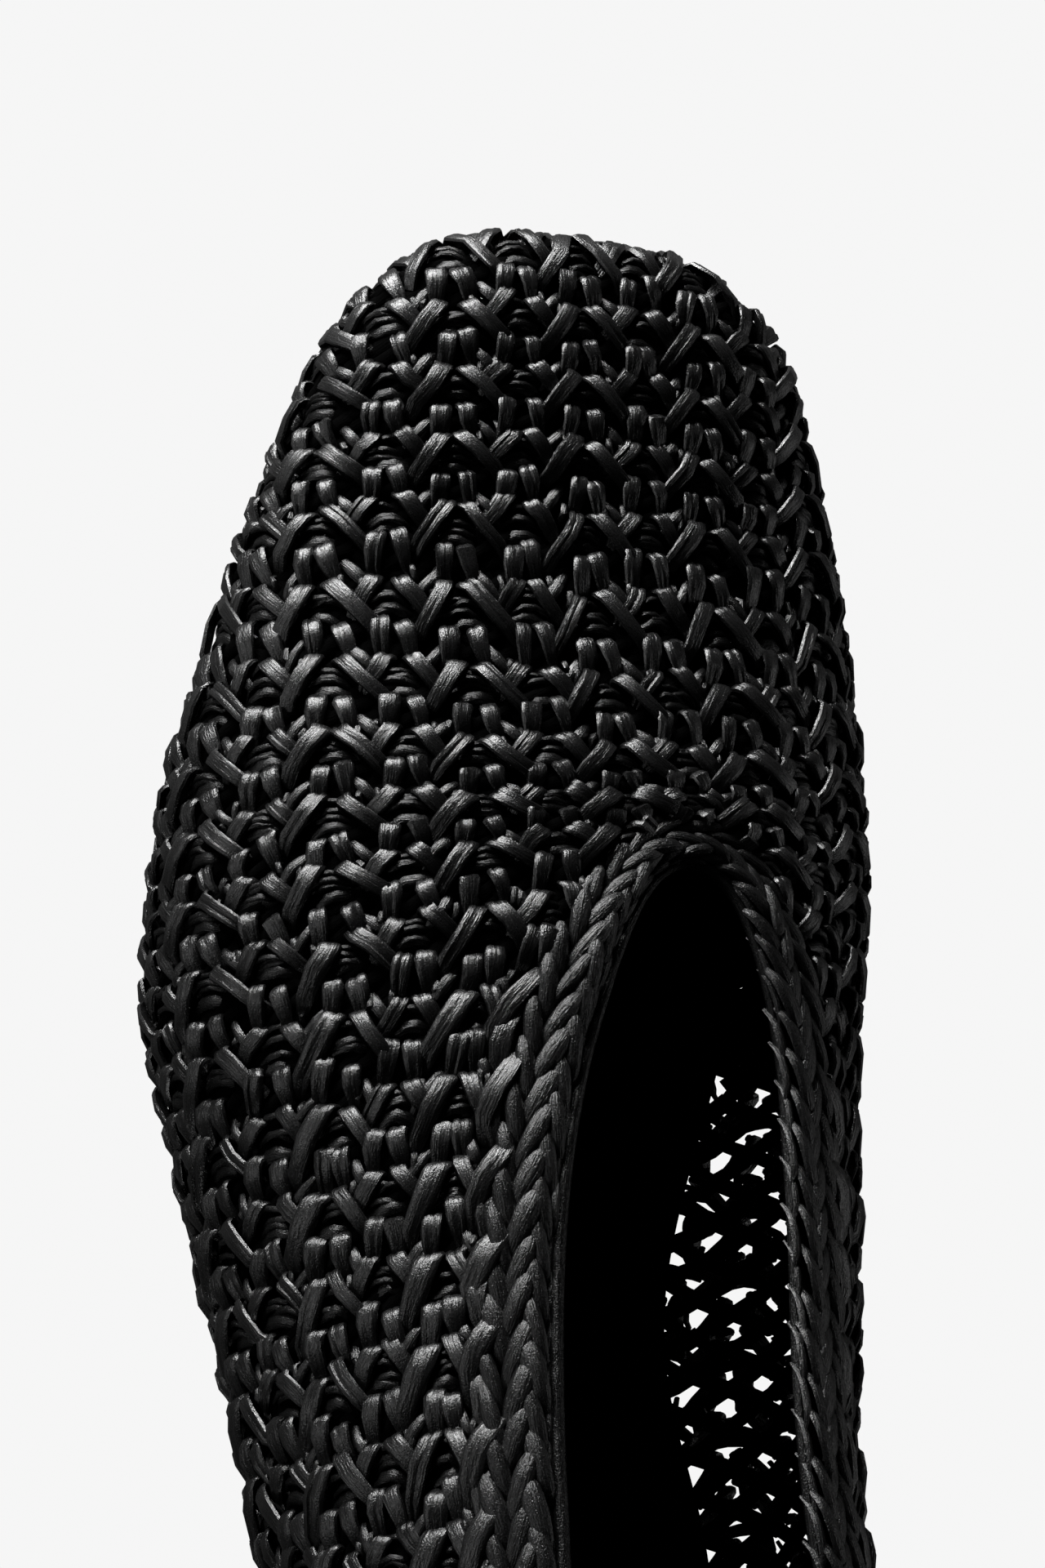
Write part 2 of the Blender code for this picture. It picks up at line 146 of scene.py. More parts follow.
def fan(centre_x, end_x, angles):
    """Where rays from a point on the ridge meet the widest line; the radius is looked up by angle."""
    swing = (1 - np.cos(np.linspace(0, np.pi / 2, FAN_POINTS))) ** 2
    x = end_x + (centre_x - end_x) * swing
    centre = np.array([centre_x, section(np.array([centre_x]), "ridge_shift")[0]])
    outer = np.stack([x, half_width(x, "lateral")], -1)[::-1]
    inner = np.stack([x, -half_width(x, "medial")], -1)[1:]
    facing = 1 if end_x > centre_x else -1
    rim = facing * (np.concatenate([outer, inner]) - centre)
    seen = np.arctan2(rim[:, 1], rim[:, 0])
    order = np.argsort(seen)
    radius = facing * np.interp(angles, seen[order], np.hypot(*rim.T)[order])
    return centre + radius[:, None] * np.stack([np.cos(angles), np.sin(angles)], -1)


print("tread at heel, ball and toe:", tread(np.array([0.0, BALL_START, LAST_LENGTH])).round(4))

# %% [markdown]
# ## A chart of the wall
# Weaving needs two coordinates on the curved wall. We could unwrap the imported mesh, but such a map is
# stretched, and a strip laid by it would change its width. So we send spokes out from the ridge line, down
# over the widest line to the feather edge, the lower edge of the last, and measure length along each. On
# the sides the spokes stand square to the foot; at toe and heel they fan out. The table of spokes is then
# read like a map.

# %% Spokes from the ridge to the feather edge
FEATHER_HEIGHT, UNDERTURN = 0.0068, 0.008
WAIST_MIDDLE, WAIST_HALF_LENGTH, WAIST_CUT = 0.120, 0.035, 0.006
# A spoke is an angle above and below the widest line, then a length under the foot; it is read by steps
RUN_STEP = 0.0005
RUN_END = 0.120
ABOVE = np.linspace(np.pi / 2, 0, 150, endpoint=False)
BELOW = np.linspace(0, np.pi / 2, 75)
UNDER = np.linspace(0, 0.012, 24)[1:]


def waist_share(rim):
    """Squared cosine along the inner side: 1 at the middle of the waist, 0 at its ends."""
    off = np.clip(np.abs(rim[:, :1] - WAIST_MIDDLE) / WAIST_HALF_LENGTH, 0, 1)
    return np.where(rim[:, 1:] < 0, np.cos(off * np.pi / 2) ** 2, 0)


def spoke_profiles(rim):
    """Above the widest line a superellipse up to the ridge, below it a quarter ellipse, then flat under."""
    x = np.clip(rim[:, 0], HEEL_CENTRE, TOE_CENTRE)
    centre = np.stack([x, section(x, "ridge_shift")], -1)
    length = np.hypot(*(rim - centre).T)[:, None]
    direction = (rim - centre) / length
    rim_x = rim[:, :1]
    power = 2 / section(rim_x, "roundness")
    turned_in = UNDERTURN + WAIST_CUT * waist_share(rim)
    turned = length - turned_in * (1 - np.cos(BELOW))
    reach = np.concatenate([length * np.cos(ABOVE) ** power, turned, length - turned_in - UNDER], 1)
    plan = centre[:, None] + direction[:, None] * reach[..., None]
    floor_line = tread(plan[..., 0])
    ridge = floor_line + section(plan[..., 0], "ridge_height")
    feather = floor_line + FEATHER_HEIGHT
    widest = tread(rim_x) + section(rim_x, "widest_height")
    top = widest + (ridge[:, : len(ABOVE)] - widest) * np.sin(ABOVE) ** power
    turn = slice(len(ABOVE), len(ABOVE) + len(BELOW))
    side = widest - (widest - feather[:, turn]) * np.sin(BELOW)
    height = np.concatenate([top, side, feather[:, turn.stop :]], 1)
    return np.concatenate([plan, height[..., None]], -1), reach


def measured_spokes(rim, collar_reach):
    """Spokes resampled by length, with the lengths at which the collar and the feather edge are met."""
    points, reach = spoke_profiles(rim)
    steps = np.linalg.norm(np.diff(points, axis=1), axis=2)
    run = np.concatenate([np.zeros((len(rim), 1)), np.cumsum(steps, 1)], 1)
    places = np.arange(0, RUN_END + RUN_STEP / 2, RUN_STEP)
    even = [[np.interp(places, run[i], points[i, :, k]) for k in range(3)] for i in range(len(rim))]
    upper = slice(0, len(ABOVE))
    collar = [np.interp(collar_reach[i], reach[i, upper], run[i, upper]) for i in range(len(rim))]
    edge = run[:, len(ABOVE) + len(BELOW) - 1]
    return np.swapaxes(np.array(even), 1, 2), np.array(collar), edge


print(len(ABOVE) + len(BELOW) + len(UNDER), "points on a spoke before it is measured")

# %% The collar's reach and the four fields of spokes
THROAT_TIP, THROAT_ROUNDING, THROAT_SQUARE = 0.1695, 0.052, 2.1
COLLAR_BACK = 0.0285
SIDE_STEP = 0.001
TURN_STEP = np.radians(1.5)


def throat_rounding(w):
    """Share of the mouth's half width at w: 1 behind, a superellipse down to 0 at the throat's tip."""
    share = (w + TOE_CENTRE - THROAT_TIP + THROAT_ROUNDING) / THROAT_ROUNDING
    return rounding(share, THROAT_SQUARE)


side_x = np.arange(HEEL_CENTRE, TOE_CENTRE + SIDE_STEP / 2, SIDE_STEP)
turns = np.arange(-np.pi / 2, np.pi / 2 + TURN_STEP / 2, TURN_STEP)
half_mouth = section(np.array([HEEL_CENTRE]), "collar_lateral")[0]
back_reach = 1 / np.hypot(np.cos(turns) / COLLAR_BACK, np.sin(turns) / half_mouth)
rims = {
    "lateral": np.stack([side_x, half_width(side_x, "lateral")], -1),
    "medial": np.stack([side_x, -half_width(side_x, "medial")], -1),
    "toe": fan(TOE_CENTRE, LAST_LENGTH, turns),
    "heel": fan(HEEL_CENTRE, 0.0, turns),
}
mouths = {
    "lateral": section(side_x, "collar_lateral"),
    "medial": section(side_x, "collar_medial"),
    "toe": np.zeros(len(turns)),
    "heel": back_reach,
}
fields = {name: measured_spokes(rims[name], mouths[name]) for name in rims}
print({name: field[0].shape for name, field in fields.items()})

# %% Reading the chart
SIDE_LENGTH = TOE_CENTRE - HEEL_CENTRE
HEEL_RADIUS = 0.034
BACK_LINE = -SIDE_LENGTH - HEEL_RADIUS * np.pi / 2
BACK_OVERLAP = 0.35
LAST_CELL = 1.001


def between(table, i, j):
    """Bilinear reading of a table of points at fractional places."""
    i = np.clip(i, 0, table.shape[0] - LAST_CELL)
    j = np.clip(j, 0, table.shape[1] - LAST_CELL)
    row, column = i.astype(int), j.astype(int)
    di, dj = (i - row)[..., None], (j - column)[..., None]
    near = table[row, column] * (1 - di) + table[row + 1, column] * di
    far = table[row, column + 1] * (1 - di) + table[row + 1, column + 1] * di
    return near * (1 - dj) + far * dj


def spoke_places(w, u):
    """Which spoke a place lies on, and how far down it.

    w runs to the toe from the toe's centre, u from the ridge to the inner side. Ahead of the centre both are
    flat coordinates on the fan: the length is the root of w^2 + u^2. Beside it the spoke is the one at w.
    Behind the heel's centre w becomes an arc, which may run on a little past the back line.
    """
    turn = np.clip((-SIDE_LENGTH - w) / HEEL_RADIUS, 0, np.pi / 2 + BACK_OVERLAP)
    angle = np.where(u <= 0, turn - np.pi / 2, np.pi / 2 - turn)
    heel_row = (angle + np.pi / 2) / TURN_STEP
    toe_row = (np.arctan2(-u, w) + np.pi / 2) / TURN_STEP
    side_row = np.clip((w + SIDE_LENGTH) / SIDE_STEP, 0, len(side_x) - 1)
    return heel_row, toe_row, side_row, np.where(w > 0, np.hypot(w, u), np.abs(u))


def by_zone(w, u, values, places):
    """The value of the field that a place belongs to, read straight between its two nearest spokes."""
    heel_row, toe_row, side_row = places[:3]
    numbers = np.arange(max(len(turns), len(side_x)))
    read = {name: np.asarray(value) for name, value in values.items()}
    side = np.where(
        u <= 0,
        np.interp(side_row, numbers[: len(side_x)], read["lateral"]),
        np.interp(side_row, numbers[: len(side_x)], read["medial"]),
    )
    heel = np.interp(heel_row, numbers[: len(turns)], read["heel"])
    toe = np.interp(toe_row, numbers[: len(turns)], read["toe"])
    return np.where(w > 0, toe, np.where(w < -SIDE_LENGTH, heel, side))


print("the back line lies at w =", round(BACK_LINE, 4))


# %% Points and normals of the wall
NORMAL_STEP, SPECK = 0.0008, 1e-9


def unit(values):
    """Vectors of length one: each is divided by the root of the sum of its squares."""
    return values / np.maximum(np.linalg.norm(values, axis=-1, keepdims=True), SPECK)


def wall_point(w, u):
    """The point of the last at chart place (w, u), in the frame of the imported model."""
    w, u = np.broadcast_arrays(np.asarray(w, float), np.asarray(u, float))
    heel_row, toe_row, side_row, run = spoke_places(w, u)
    down = run / RUN_STEP
    outer = between(fields["lateral"][0], side_row, down)
    inner = between(fields["medial"][0], side_row, down)
    side = np.where((u <= 0)[..., None], outer, inner)
    heel = between(fields["heel"][0], heel_row, down)
    toe = between(fields["toe"][0], toe_row, down)
    point = np.where((w > 0)[..., None], toe, np.where((w < -SIDE_LENGTH)[..., None], heel, side))
    return point + home


def wall_normal(w, u):
    """Outward normal: the cross product of the two chart directions, by central differences."""
    across = wall_point(w, u + NORMAL_STEP) - wall_point(w, u - NORMAL_STEP)
    ahead = wall_point(w + NORMAL_STEP, u) - wall_point(w - NORMAL_STEP, u)
    return unit(np.cross(across, ahead))


probe = wall_point(np.array([0.0, -0.06]), np.array([0.0, -0.05]))
print("chart probe:", probe.round(4).tolist())

# %% [markdown]
# ## Strips
# Each strip is a flat band of soft leather: a path, a width, a thickness and a twist. A curve with a bevel
# could draw it, but its section would be the same all along, and a thousand curves are slow. So we carry a
# flat section along all paths at once. One array holds every strip of a kind, and no loop visits a vertex.
# Where a strip is folded on itself it has a shallow groove, and each strip has it in another place.

# %% Sections of the strips
STRIP_SEED = 7
rng = np.random.default_rng(STRIP_SEED)
# Corners as shares of half the width and half the thickness; the last one is a keel that hides underneath
BAND_SECTION = np.array(
    [(-1, 0), (-0.84, 0.74), (-0.34, 1), (0.06, 0.86), (0.44, 1), (0.87, 0.7), (1, 0), (0, -2)]
)
GROOVE = 3
GROOVE_LEAST, GROOVE_MOST = (-0.25, -0.4), (0.25, 0.12)
LEAF_SECTION = np.array(
    [(-1, -0.2), (-0.86, 0.42), (-0.48, 0.86), (0.0, 1.0), (0.48, 0.86), (0.86, 0.42), (1, -0.2), (0, -0.9)]
)
STRAND_SECTION = np.array([(-1.0, 0.0), (-0.6, 0.8), (0.1, 1.0), (0.7, 0.7), (1.0, 0.0), (0.0, -1.0)])
print("corners of a band, a leaf and a strand:", len(BAND_SECTION), len(LEAF_SECTION), len(STRAND_SECTION))


# %% Bands along paths
def along_controls(controls, places):
    """Catmull-Rom curve through each row of control values, read at the given places (0 is the first)."""
    padded = np.concatenate(
        [2 * controls[:, :1] - controls[:, 1:2], controls, 2 * controls[:, -1:] - controls[:, -2:-1]], 1
    )
    i = np.minimum(places.astype(int), controls.shape[1] - 2)
    t = (places - i)[None, :, None]
    a, b, c, d = (padded[:, i + k] for k in range(4))
    return 0.5 * (2 * b + (c - a) * t + (2 * a - 5 * b + 4 * c - d) * t**2 + (3 * b - a - 3 * c + d) * t**3)


def band_vertices(path, normal, width, thickness, twist, slew, section_points):
    """Rings of a flat section: its long axis is square to the way the strip lies, then slewed and twisted."""
    strips, rings = path.shape[:2]
    tangent = unit(np.gradient(path, axis=1))
    lies = path[:, -1] - path[:, rings // 2]
    level = np.cross(lies, normal[:, rings // 2])[:, None]
    side = unit(level - (level * tangent).sum(2, keepdims=True) * tangent)
    swung = np.cross(unit(normal[:, rings // 2])[:, None], side)
    side = side * np.cos(slew)[..., None] + swung * np.sin(slew)[..., None]
    out = unit(np.cross(side, tangent))
    turned = twist[..., None]
    long_axis = side * np.cos(turned) + out * np.sin(turned)
    short_axis = out * np.cos(turned) - side * np.sin(turned)
    outline = np.repeat(section_points[None], strips, 0)
    if section_points is BAND_SECTION:
        outline[:, GROOVE] += rng.uniform(GROOVE_LEAST, GROOVE_MOST, (strips, 2))
    flat = long_axis[:, :, None] * (width[..., None] / 2 * outline[:, None, :, 0])[..., None]
    thick = short_axis[:, :, None] * (thickness[..., None] / 2 * outline[:, None, :, 1])[..., None]
    return path[:, :, None] + flat + thick


def band_faces(strips, rings, corners):
    """Quads between rings; each end is closed by quads that join facing pairs of the ring."""
    ring, point = np.meshgrid(np.arange(rings - 1), np.arange(corners), indexing="ij")
    after = (point + 1) % corners
    here, there = ring * corners, (ring + 1) * corners
    walls = np.stack([here + point, there + point, there + after, here + after], -1).reshape(-1, 4)
    k = np.arange(corners // 2 - 1)
    cap = np.stack([k, k + 1, corners - 2 - k, corners - 1 - k], -1)
    last = cap[:, ::-1] + (rings - 1) * corners
    one = np.concatenate([walls, cap, last])
    return (one[None] + (np.arange(strips) * rings * corners)[:, None, None]).reshape(-1, 4)


print("faces of a strip with eight rings:", len(band_faces(1, 8, len(BAND_SECTION))))

# %% From arrays to a piece
SHARP_ANGLE = np.radians(48)
MAP_START, MAP_HALF_WIDTH = 5.0, 0.0011


def piece_from_bands(name, path, normal, width, thickness, twist, slew, section_points, material):
    """One joined mesh for all strips of a kind, with a map along each strip and one tone per strip.

    The map's first coordinate is the length along the path from a random start, its second the place across.
    """
    strips, rings = path.shape[:2]
    corners = len(section_points)
    vertices = band_vertices(path, normal, width, thickness, twist, slew, section_points)
    faces = band_faces(strips, rings, corners)
    steps = np.linalg.norm(np.diff(path, axis=1), axis=2)
    run = np.concatenate([np.zeros((strips, 1)), np.cumsum(steps, 1)], 1)
    run = run + rng.uniform(0, MAP_START, (strips, 1))
    across = section_points[:, 0] * MAP_HALF_WIDTH
    grid = np.stack(np.broadcast_arrays(run[..., None], across), -1).reshape(-1, 2)
    tone = np.repeat(rng.uniform(0, 1, strips), rings * corners)
    return piece_from_arrays(name, vertices.reshape(-1, 3), faces, grid, tone, material)


def piece_from_arrays(name, vertices, faces, grid, tone, material):
    """Puts whole arrays into a mesh and sets the piece on the shoe."""
    mesh = bpy.data.meshes.new(name)
    mesh.vertices.add(len(vertices))
    mesh.vertices.foreach_set("co", np.ascontiguousarray(vertices, np.float32).ravel())
    mesh.loops.add(faces.size)
    mesh.loops.foreach_set("vertex_index", np.ascontiguousarray(faces, np.int32).ravel())
    mesh.polygons.add(len(faces))
    mesh.polygons.foreach_set("loop_start", np.arange(0, faces.size, faces.shape[1], dtype=np.int32))
    mesh.update(calc_edges=True)
    uv = mesh.uv_layers.new(name="along")
    uv.data.foreach_set("uv", np.ascontiguousarray(grid[faces.ravel()], np.float32).ravel())
    mesh.attributes.new("tone", "FLOAT", "POINT").data.foreach_set("value", tone.astype(np.float32))
    mesh.shade_smooth()
    mesh.set_sharp_from_angle(angle=SHARP_ANGLE)
    mesh.materials.append(material)
    piece = bpy.data.objects.new(name, mesh)
    bpy.context.scene.collection.objects.link(piece)
    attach(piece, "root")
    print(name, len(faces) * (faces.shape[1] - 2), "triangles")
    return piece


# %% [markdown]
# ## Black leather
# The strips are black leather with a soft sheen. Fine fibres run along each strip, so the grain
# reads the strip's own map: stretched along, close across. A picture could be painted for it, but noise
# never repeats and needs no file. Every strip has its own tone, as if cut from another part of the hide. A
# node group holds the grain, and each finish places it with its own values.

# %% Helpers for nodes
def new_group(name, inputs, outputs):
    """An empty shader group with named sockets."""
    group = bpy.data.node_groups.new(name, "ShaderNodeTree")
    for label, kind in inputs:
        group.interface.new_socket(label, in_out="INPUT", socket_type=kind)
    for label, kind in outputs:
        group.interface.new_socket(label, in_out="OUTPUT", socket_type=kind)
    return group, group.nodes.new("NodeGroupInput"), group.nodes.new("NodeGroupOutput")


def put(tree, kind, links=(), **values):
    """Adds a node, sets its values, and links or fills its inputs."""
    node = tree.nodes.new(kind)
    for key, value in values.items():
        setattr(node, key, value)
    for socket, source in links:
        if hasattr(source, "is_output"):
            tree.links.new(source, node.inputs[socket])
        else:
            node.inputs[socket].default_value = source
    return node


# %% The grain group
FLOAT, COLOUR, VECTOR = "NodeSocketFloat", "NodeSocketColor", "NodeSocketVector"
FIBRE_STRETCH, FIBRE_DETAIL = (500, 4600, 1), 3.0
FINE_SCALE, WORN_SCALE, PLACE_DETAIL = 5500.0, 320.0, 2.0
FIBRE_RELIEF, FINE_RELIEF = 0.7, 0.45
TONE_SHARE, WORN_SHARE = 0.5, 0.6
LEAST_ROUGH, MOST_ROUGH = 0.17, 0.36
grain, grain_in, grain_out = new_group(
    "leather_grain",
    [("Map", VECTOR), ("Place", VECTOR), ("Tone", FLOAT), ("Dark", COLOUR), ("Light", COLOUR)],
    [("Colour", COLOUR), ("Roughness", FLOAT), ("Relief", FLOAT)],
)
strip_map, place, tone, dark, light = grain_in.outputs[:5]


def noise(vector, scale, detail, dimensions="3D"):
    """A noise around one half that is read at a vector times the scale."""
    sockets = [("Vector", vector), ("Scale", scale), ("Detail", detail)]
    return put(grain, "ShaderNodeTexNoise", sockets, noise_dimensions=dimensions).outputs["Fac"]


def weighted(value, weight, rest):
    """The value times its weight, plus the rest."""
    sockets = [(0, value), (1, weight), (2, rest)]
    return put(grain, "ShaderNodeMath", sockets, operation="MULTIPLY_ADD").outputs[0]


stretched = put(grain, "ShaderNodeMapping", [("Vector", strip_map), ("Scale", FIBRE_STRETCH)])
fibre = noise(stretched.outputs[0], 1.0, FIBRE_DETAIL, "2D")
fine, worn = (noise(place, scale, PLACE_DETAIL) for scale in (FINE_SCALE, WORN_SCALE))
relief = weighted(fine, FINE_RELIEF, weighted(fibre, FIBRE_RELIEF, 0.0))
shade = weighted(worn, WORN_SHARE, weighted(tone, TONE_SHARE, 0.0))
colour = put(grain, "ShaderNodeMix", [(0, shade), (6, dark), (7, light)], data_type="RGBA")
rough = [("Value", relief), ("To Min", LEAST_ROUGH), ("To Max", MOST_ROUGH)]
gloss = put(grain, "ShaderNodeMapRange", rough)
for label, source in (("Colour", colour.outputs[2]), ("Roughness", gloss.outputs[0]), ("Relief", relief)):
    grain.links.new(source, grain_out.inputs[label])
print("grain group with", len(grain.nodes), "nodes")

# %% Leather finishes
BUMP_DISTANCE = 0.0002


def leather(name, dark, light, bump, specular=0.5):
    """A black leather finish: grain for colour, roughness and bump on one Principled shader."""
    material = bpy.data.materials.new(name)
    material.use_nodes = True
    tree = material.node_tree
    shader = tree.nodes["Principled BSDF"]
    coordinates = put(tree, "ShaderNodeTexCoord")
    tone = put(tree, "ShaderNodeAttribute", attribute_name="tone")
    surface = put(
        tree,
        "ShaderNodeGroup",
        [
            ("Map", coordinates.outputs["UV"]),
            ("Place", coordinates.outputs["Object"]),
            ("Tone", tone.outputs["Fac"]),
            ("Dark", (*dark, 1)),
            ("Light", (*light, 1)),
        ],
        node_tree=grain,
    )
    pressed = [("Height", surface.outputs["Relief"]), ("Strength", bump), ("Distance", BUMP_DISTANCE)]
    bumped = put(tree, "ShaderNodeBump", pressed)
    tree.links.new(surface.outputs["Colour"], shader.inputs["Base Color"])
    tree.links.new(surface.outputs["Roughness"], shader.inputs["Roughness"])
    tree.links.new(bumped.outputs[0], shader.inputs["Normal"])
    shader.inputs["Specular IOR Level"].default_value = specular
    return material


# Dark, light, bump and specular level of each finish
strip_leather = leather("strip_leather", (0.002, 0.002, 0.002), (0.007, 0.007, 0.0071), 0.7)
plait_leather = leather("plait_leather", (0.002, 0.002, 0.002), (0.007, 0.007, 0.0071), 0.9, 0.35)
# Painted shade: the strands under the arms get a darker copy of the leather with less sheen, as they lie in
# the arms' shade.
bundle_painted_shade = leather("bundle_painted_shade", (0.001, 0.001, 0.001), (0.004, 0.004, 0.004), 0.6, 0.25)
# Painted shade: a copy of the black leather, darker still and without sheen, for parts that lie in shade: the
# ground, the plait's core and the lasting edge.
painted_shade_leather = leather("painted_shade_leather", (0.0006, 0.0006, 0.0006), (0.002, 0.002, 0.002), 0.8, 0.0)
print("finishes:", [finish.name for finish in (strip_leather, plait_leather, bundle_painted_shade, painted_shade_leather)])

# %% [markdown]
# ## The net of stitches
# On the real shoe each strip is looped through the row before. Columns of stitches run from toe to heel,
# rows run across, and long and short stitches take turns from column to column. We could wrap a flat
# swatch over the last; a net with two coordinates of its own, column and row, keeps the rhythm and still
# follows the mouth behind the throat. Its pitch was read off the picture: rows lie a little closer over
# the ball.

# %% Rows and columns
COLUMN_PITCH, MIDDLE_COLUMN = 0.00765, -0.0045
ROW_NUMBERS = np.array([-2.0, 0.0, 2.0, 4.0, 6.0, 8.0, 10.0, 13.0, 16.0, 29.0, 32.0])
ROW_PLACES = np.array(
    [0.0580, 0.0406, 0.0239, 0.0066, -0.0136, -0.0294, -0.0453, -0.0729, -0.1003, -0.2234, -0.2518]
)
BOW, BOW_FROM, BOW_REACH = 2.5, -0.010, 0.030
SPREAD, SPREAD_FROM, SPREAD_REACH = 0.10, -0.005, 0.040
SLANT, SLANT_PIVOT, SLANT_COLUMN, SLANT_LIMIT = 0.24, 0.038, 4, 0.030
SLANT_TOE, SLANT_TOE_REACH = 0.010, 0.030
SLANT_FROM, SLANT_FULL = -0.022, -0.044
QUARTER_FROM, QUARTER_FULL = -0.036, -0.062
QUARTER_COLUMNS = np.array([-4.0, 0.0, 1.0, 2.0, 3.0, 4.0, 12.0])
QUARTER_PLACES = np.array([-0.0090, 0.0078, 0.0120, 0.0191, 0.0250, 0.0334, 0.1010])
OUTER_EDGE_COLUMN, HALF_WAY_COLUMN, INNER_EDGE_COLUMN = -1, 0.5, 2


def ease(x):
    """Smooth step from 0 to 1: three x squared less two x cubed."""
    x = np.clip(x, 0, 1)
    return x * x * (3 - 2 * x)


def collar_run(w, side):
    """Length from the ridge to the collar on the spoke at w, on the outer (-1) or inner (1) side.

    It is the length that was measured on the spokes, times the throat's rounding.
    """
    u = np.full(np.shape(w), side * SPECK)
    full = by_zone(w, u, {name: field[1] for name, field in fields.items()}, spoke_places(w, u))
    return full * throat_rounding(w)


def net_place(column, row):
    """Chart place of a net coordinate.

    Rows follow their table; at the toe they bow and far out on the sides they drop. On the vamp columns are
    evenly spaced; behind the throat they keep a fixed distance from the collar. A smooth step joins the two.
    """
    column, row = np.broadcast_arrays(column, row)
    w = smooth_table(row, ROW_NUMBERS, ROW_PLACES)
    spread = 1 + SPREAD * ease((SPREAD_FROM - w) / SPREAD_REACH)
    vamp = MIDDLE_COLUMN + column * COLUMN_PITCH * spread
    outer = -collar_run(w, -1) - np.interp(OUTER_EDGE_COLUMN - column, QUARTER_COLUMNS, QUARTER_PLACES)
    inner = collar_run(w, 1) + np.interp(column - INNER_EDGE_COLUMN, QUARTER_COLUMNS, QUARTER_PLACES)
    quarter = np.where(column < HALF_WAY_COLUMN, outer, inner)
    u = vamp + (quarter - vamp) * ease((QUARTER_FROM - w) / (QUARTER_FROM - QUARTER_FULL))
    bow = BOW * (u - MIDDLE_COLUMN) ** 2 * ease((w - BOW_FROM) / BOW_REACH)
    collar = np.where(u < 0, collar_run(w, -1), collar_run(w, 1))
    beyond = np.abs(u) - np.maximum(SLANT_PIVOT, collar + QUARTER_PLACES[SLANT_COLUMN])
    near = ease((SLANT_FROM - w) / (SLANT_FROM - SLANT_FULL))
    fallen = np.minimum(beyond, SLANT_LIMIT) * ease((SLANT_TOE - w) / SLANT_TOE_REACH)
    drop = SLANT * np.where(beyond > 0, fallen, beyond * near)
    return w - bow - drop, u


print("column 0, row 8 lies at", np.round(net_place(np.zeros(1), np.full(1, 8.0)), 4).ravel())

# %% [markdown]
# ## The mouth's edge
# The mouth is a long U in the net. It could be cut out with a boolean, but that would leave the strips with
# open ends. So we only work out its edge, as a closed line of even steps: stitches keep clear of it, and the
# plait will follow it. In the picture the throat's tip lies nearer the inner side, so the line is led there.

# %% The mouth's edge
THROAT_SHIFT = 0.0036
TIP_SQUEEZE, TIP_SQUEEZE_REACH = 0.68, 0.030
TIP_CROWDED, TIP_STEPS, SIDE_STEPS, HEEL_ARC_STEPS = 0.5, 200, 400, 120
COLLAR_STEPS, LEAST_REACH = 720, 1e-6


def throat_lead(w):
    """How far the mouth is led to the inner side: it grows with the square of the way to the throat's tip."""
    share = np.clip((w + TOE_CENTRE - THROAT_TIP + THROAT_ROUNDING) / THROAT_ROUNDING, 0, 1)
    return THROAT_SHIFT * share**2


def edge_points(w, side):
    """Points of the collar on one side (-1 outer, 1 inner), led inwards near the throat's tip."""
    return wall_point(w, side * np.maximum(collar_run(w, side), LEAST_REACH) + throat_lead(w))


def even_loop(points, count):
    """A closed line resampled at even steps, and its length."""
    closed = np.concatenate([points, points[:1]])
    run = np.concatenate([[0], np.cumsum(np.linalg.norm(np.diff(closed, axis=0), axis=1))])
    places = np.linspace(0, run[-1], count, endpoint=False)
    return np.stack([np.interp(places, run, closed[:, k]) for k in range(3)], -1), run[-1]


def collar_curve(count):
    """The mouth's edge on the last as an even closed line, and its length.

    It starts at the throat's tip, runs back on the outer side and returns on the inner one. Close to the tip
    the places follow a cube, because the edge turns quickly there.
    """
    tip = THROAT_TIP - TOE_CENTRE
    crowded = tip - THROAT_ROUNDING * np.linspace(0, 1, TIP_STEPS) ** 3 * TIP_CROWDED
    side = np.linspace(tip, -SIDE_LENGTH, SIDE_STEPS)[:-1]
    heel = -SIDE_LENGTH - np.linspace(0, HEEL_RADIUS * np.pi / 2, HEEL_ARC_STEPS)
    w = np.concatenate([crowded, side[side < crowded[-1]], heel])
    return even_loop(np.concatenate([edge_points(w, -1), edge_points(w, 1)[-2:0:-1]]), count)


def plait_squeeze(distance):
    """Size of the plait: its squeeze at the throat's tip, and from there a smooth step to full size."""
    return TIP_SQUEEZE + (1 - TIP_SQUEEZE) * ease(distance / TIP_SQUEEZE_REACH)


collar_points, collar_length = collar_curve(COLLAR_STEPS)
throat_tip = collar_points[0]
print("collar length", round(float(collar_length), 4))

# %% Which stitches lie on the wall
PLAIT_WIDTH, PLAIT_OVERLAP, EDGE_OVERLAP = 0.0085, 0.0015, 0.001
STITCH_MIDDLE = 0.35
COLUMN_NUMBERS, STITCH_ROWS = np.arange(-11, 12), np.arange(-1, 32)
columns, rows = np.meshgrid(COLUMN_NUMBERS, STITCH_ROWS, indexing="ij")
columns, rows = columns.ravel().astype(float), rows.ravel().astype(float)


def on_wall(column, row):
    """True where a net place is below the plait and above the feather edge."""
    w, u = net_place(column, row)
    places = spoke_places(w, u)
    collar = np.where(u < 0, collar_run(w, -1), collar_run(w, 1))
    edge = by_zone(w, u, {name: field[2] for name, field in fields.items()}, places)
    point = wall_point(w, u)
    off = np.linalg.norm(point[:, None] - collar_points[None], axis=2).min(1)
    clear = PLAIT_WIDTH * plait_squeeze(np.linalg.norm(point - throat_tip, axis=1)) - PLAIT_OVERLAP
    return (places[3] > collar) & (off > clear) & (places[3] < edge + EDGE_OVERLAP)


before_back = net_place(columns, rows)[0] > BACK_LINE - EDGE_OVERLAP
kept = on_wall(columns, rows + STITCH_MIDDLE) & before_back
columns, rows = columns[kept], rows[kept]
is_long = columns % 2 == 0
print(len(columns), "stitches,", int(is_long.sum()), "of them long")

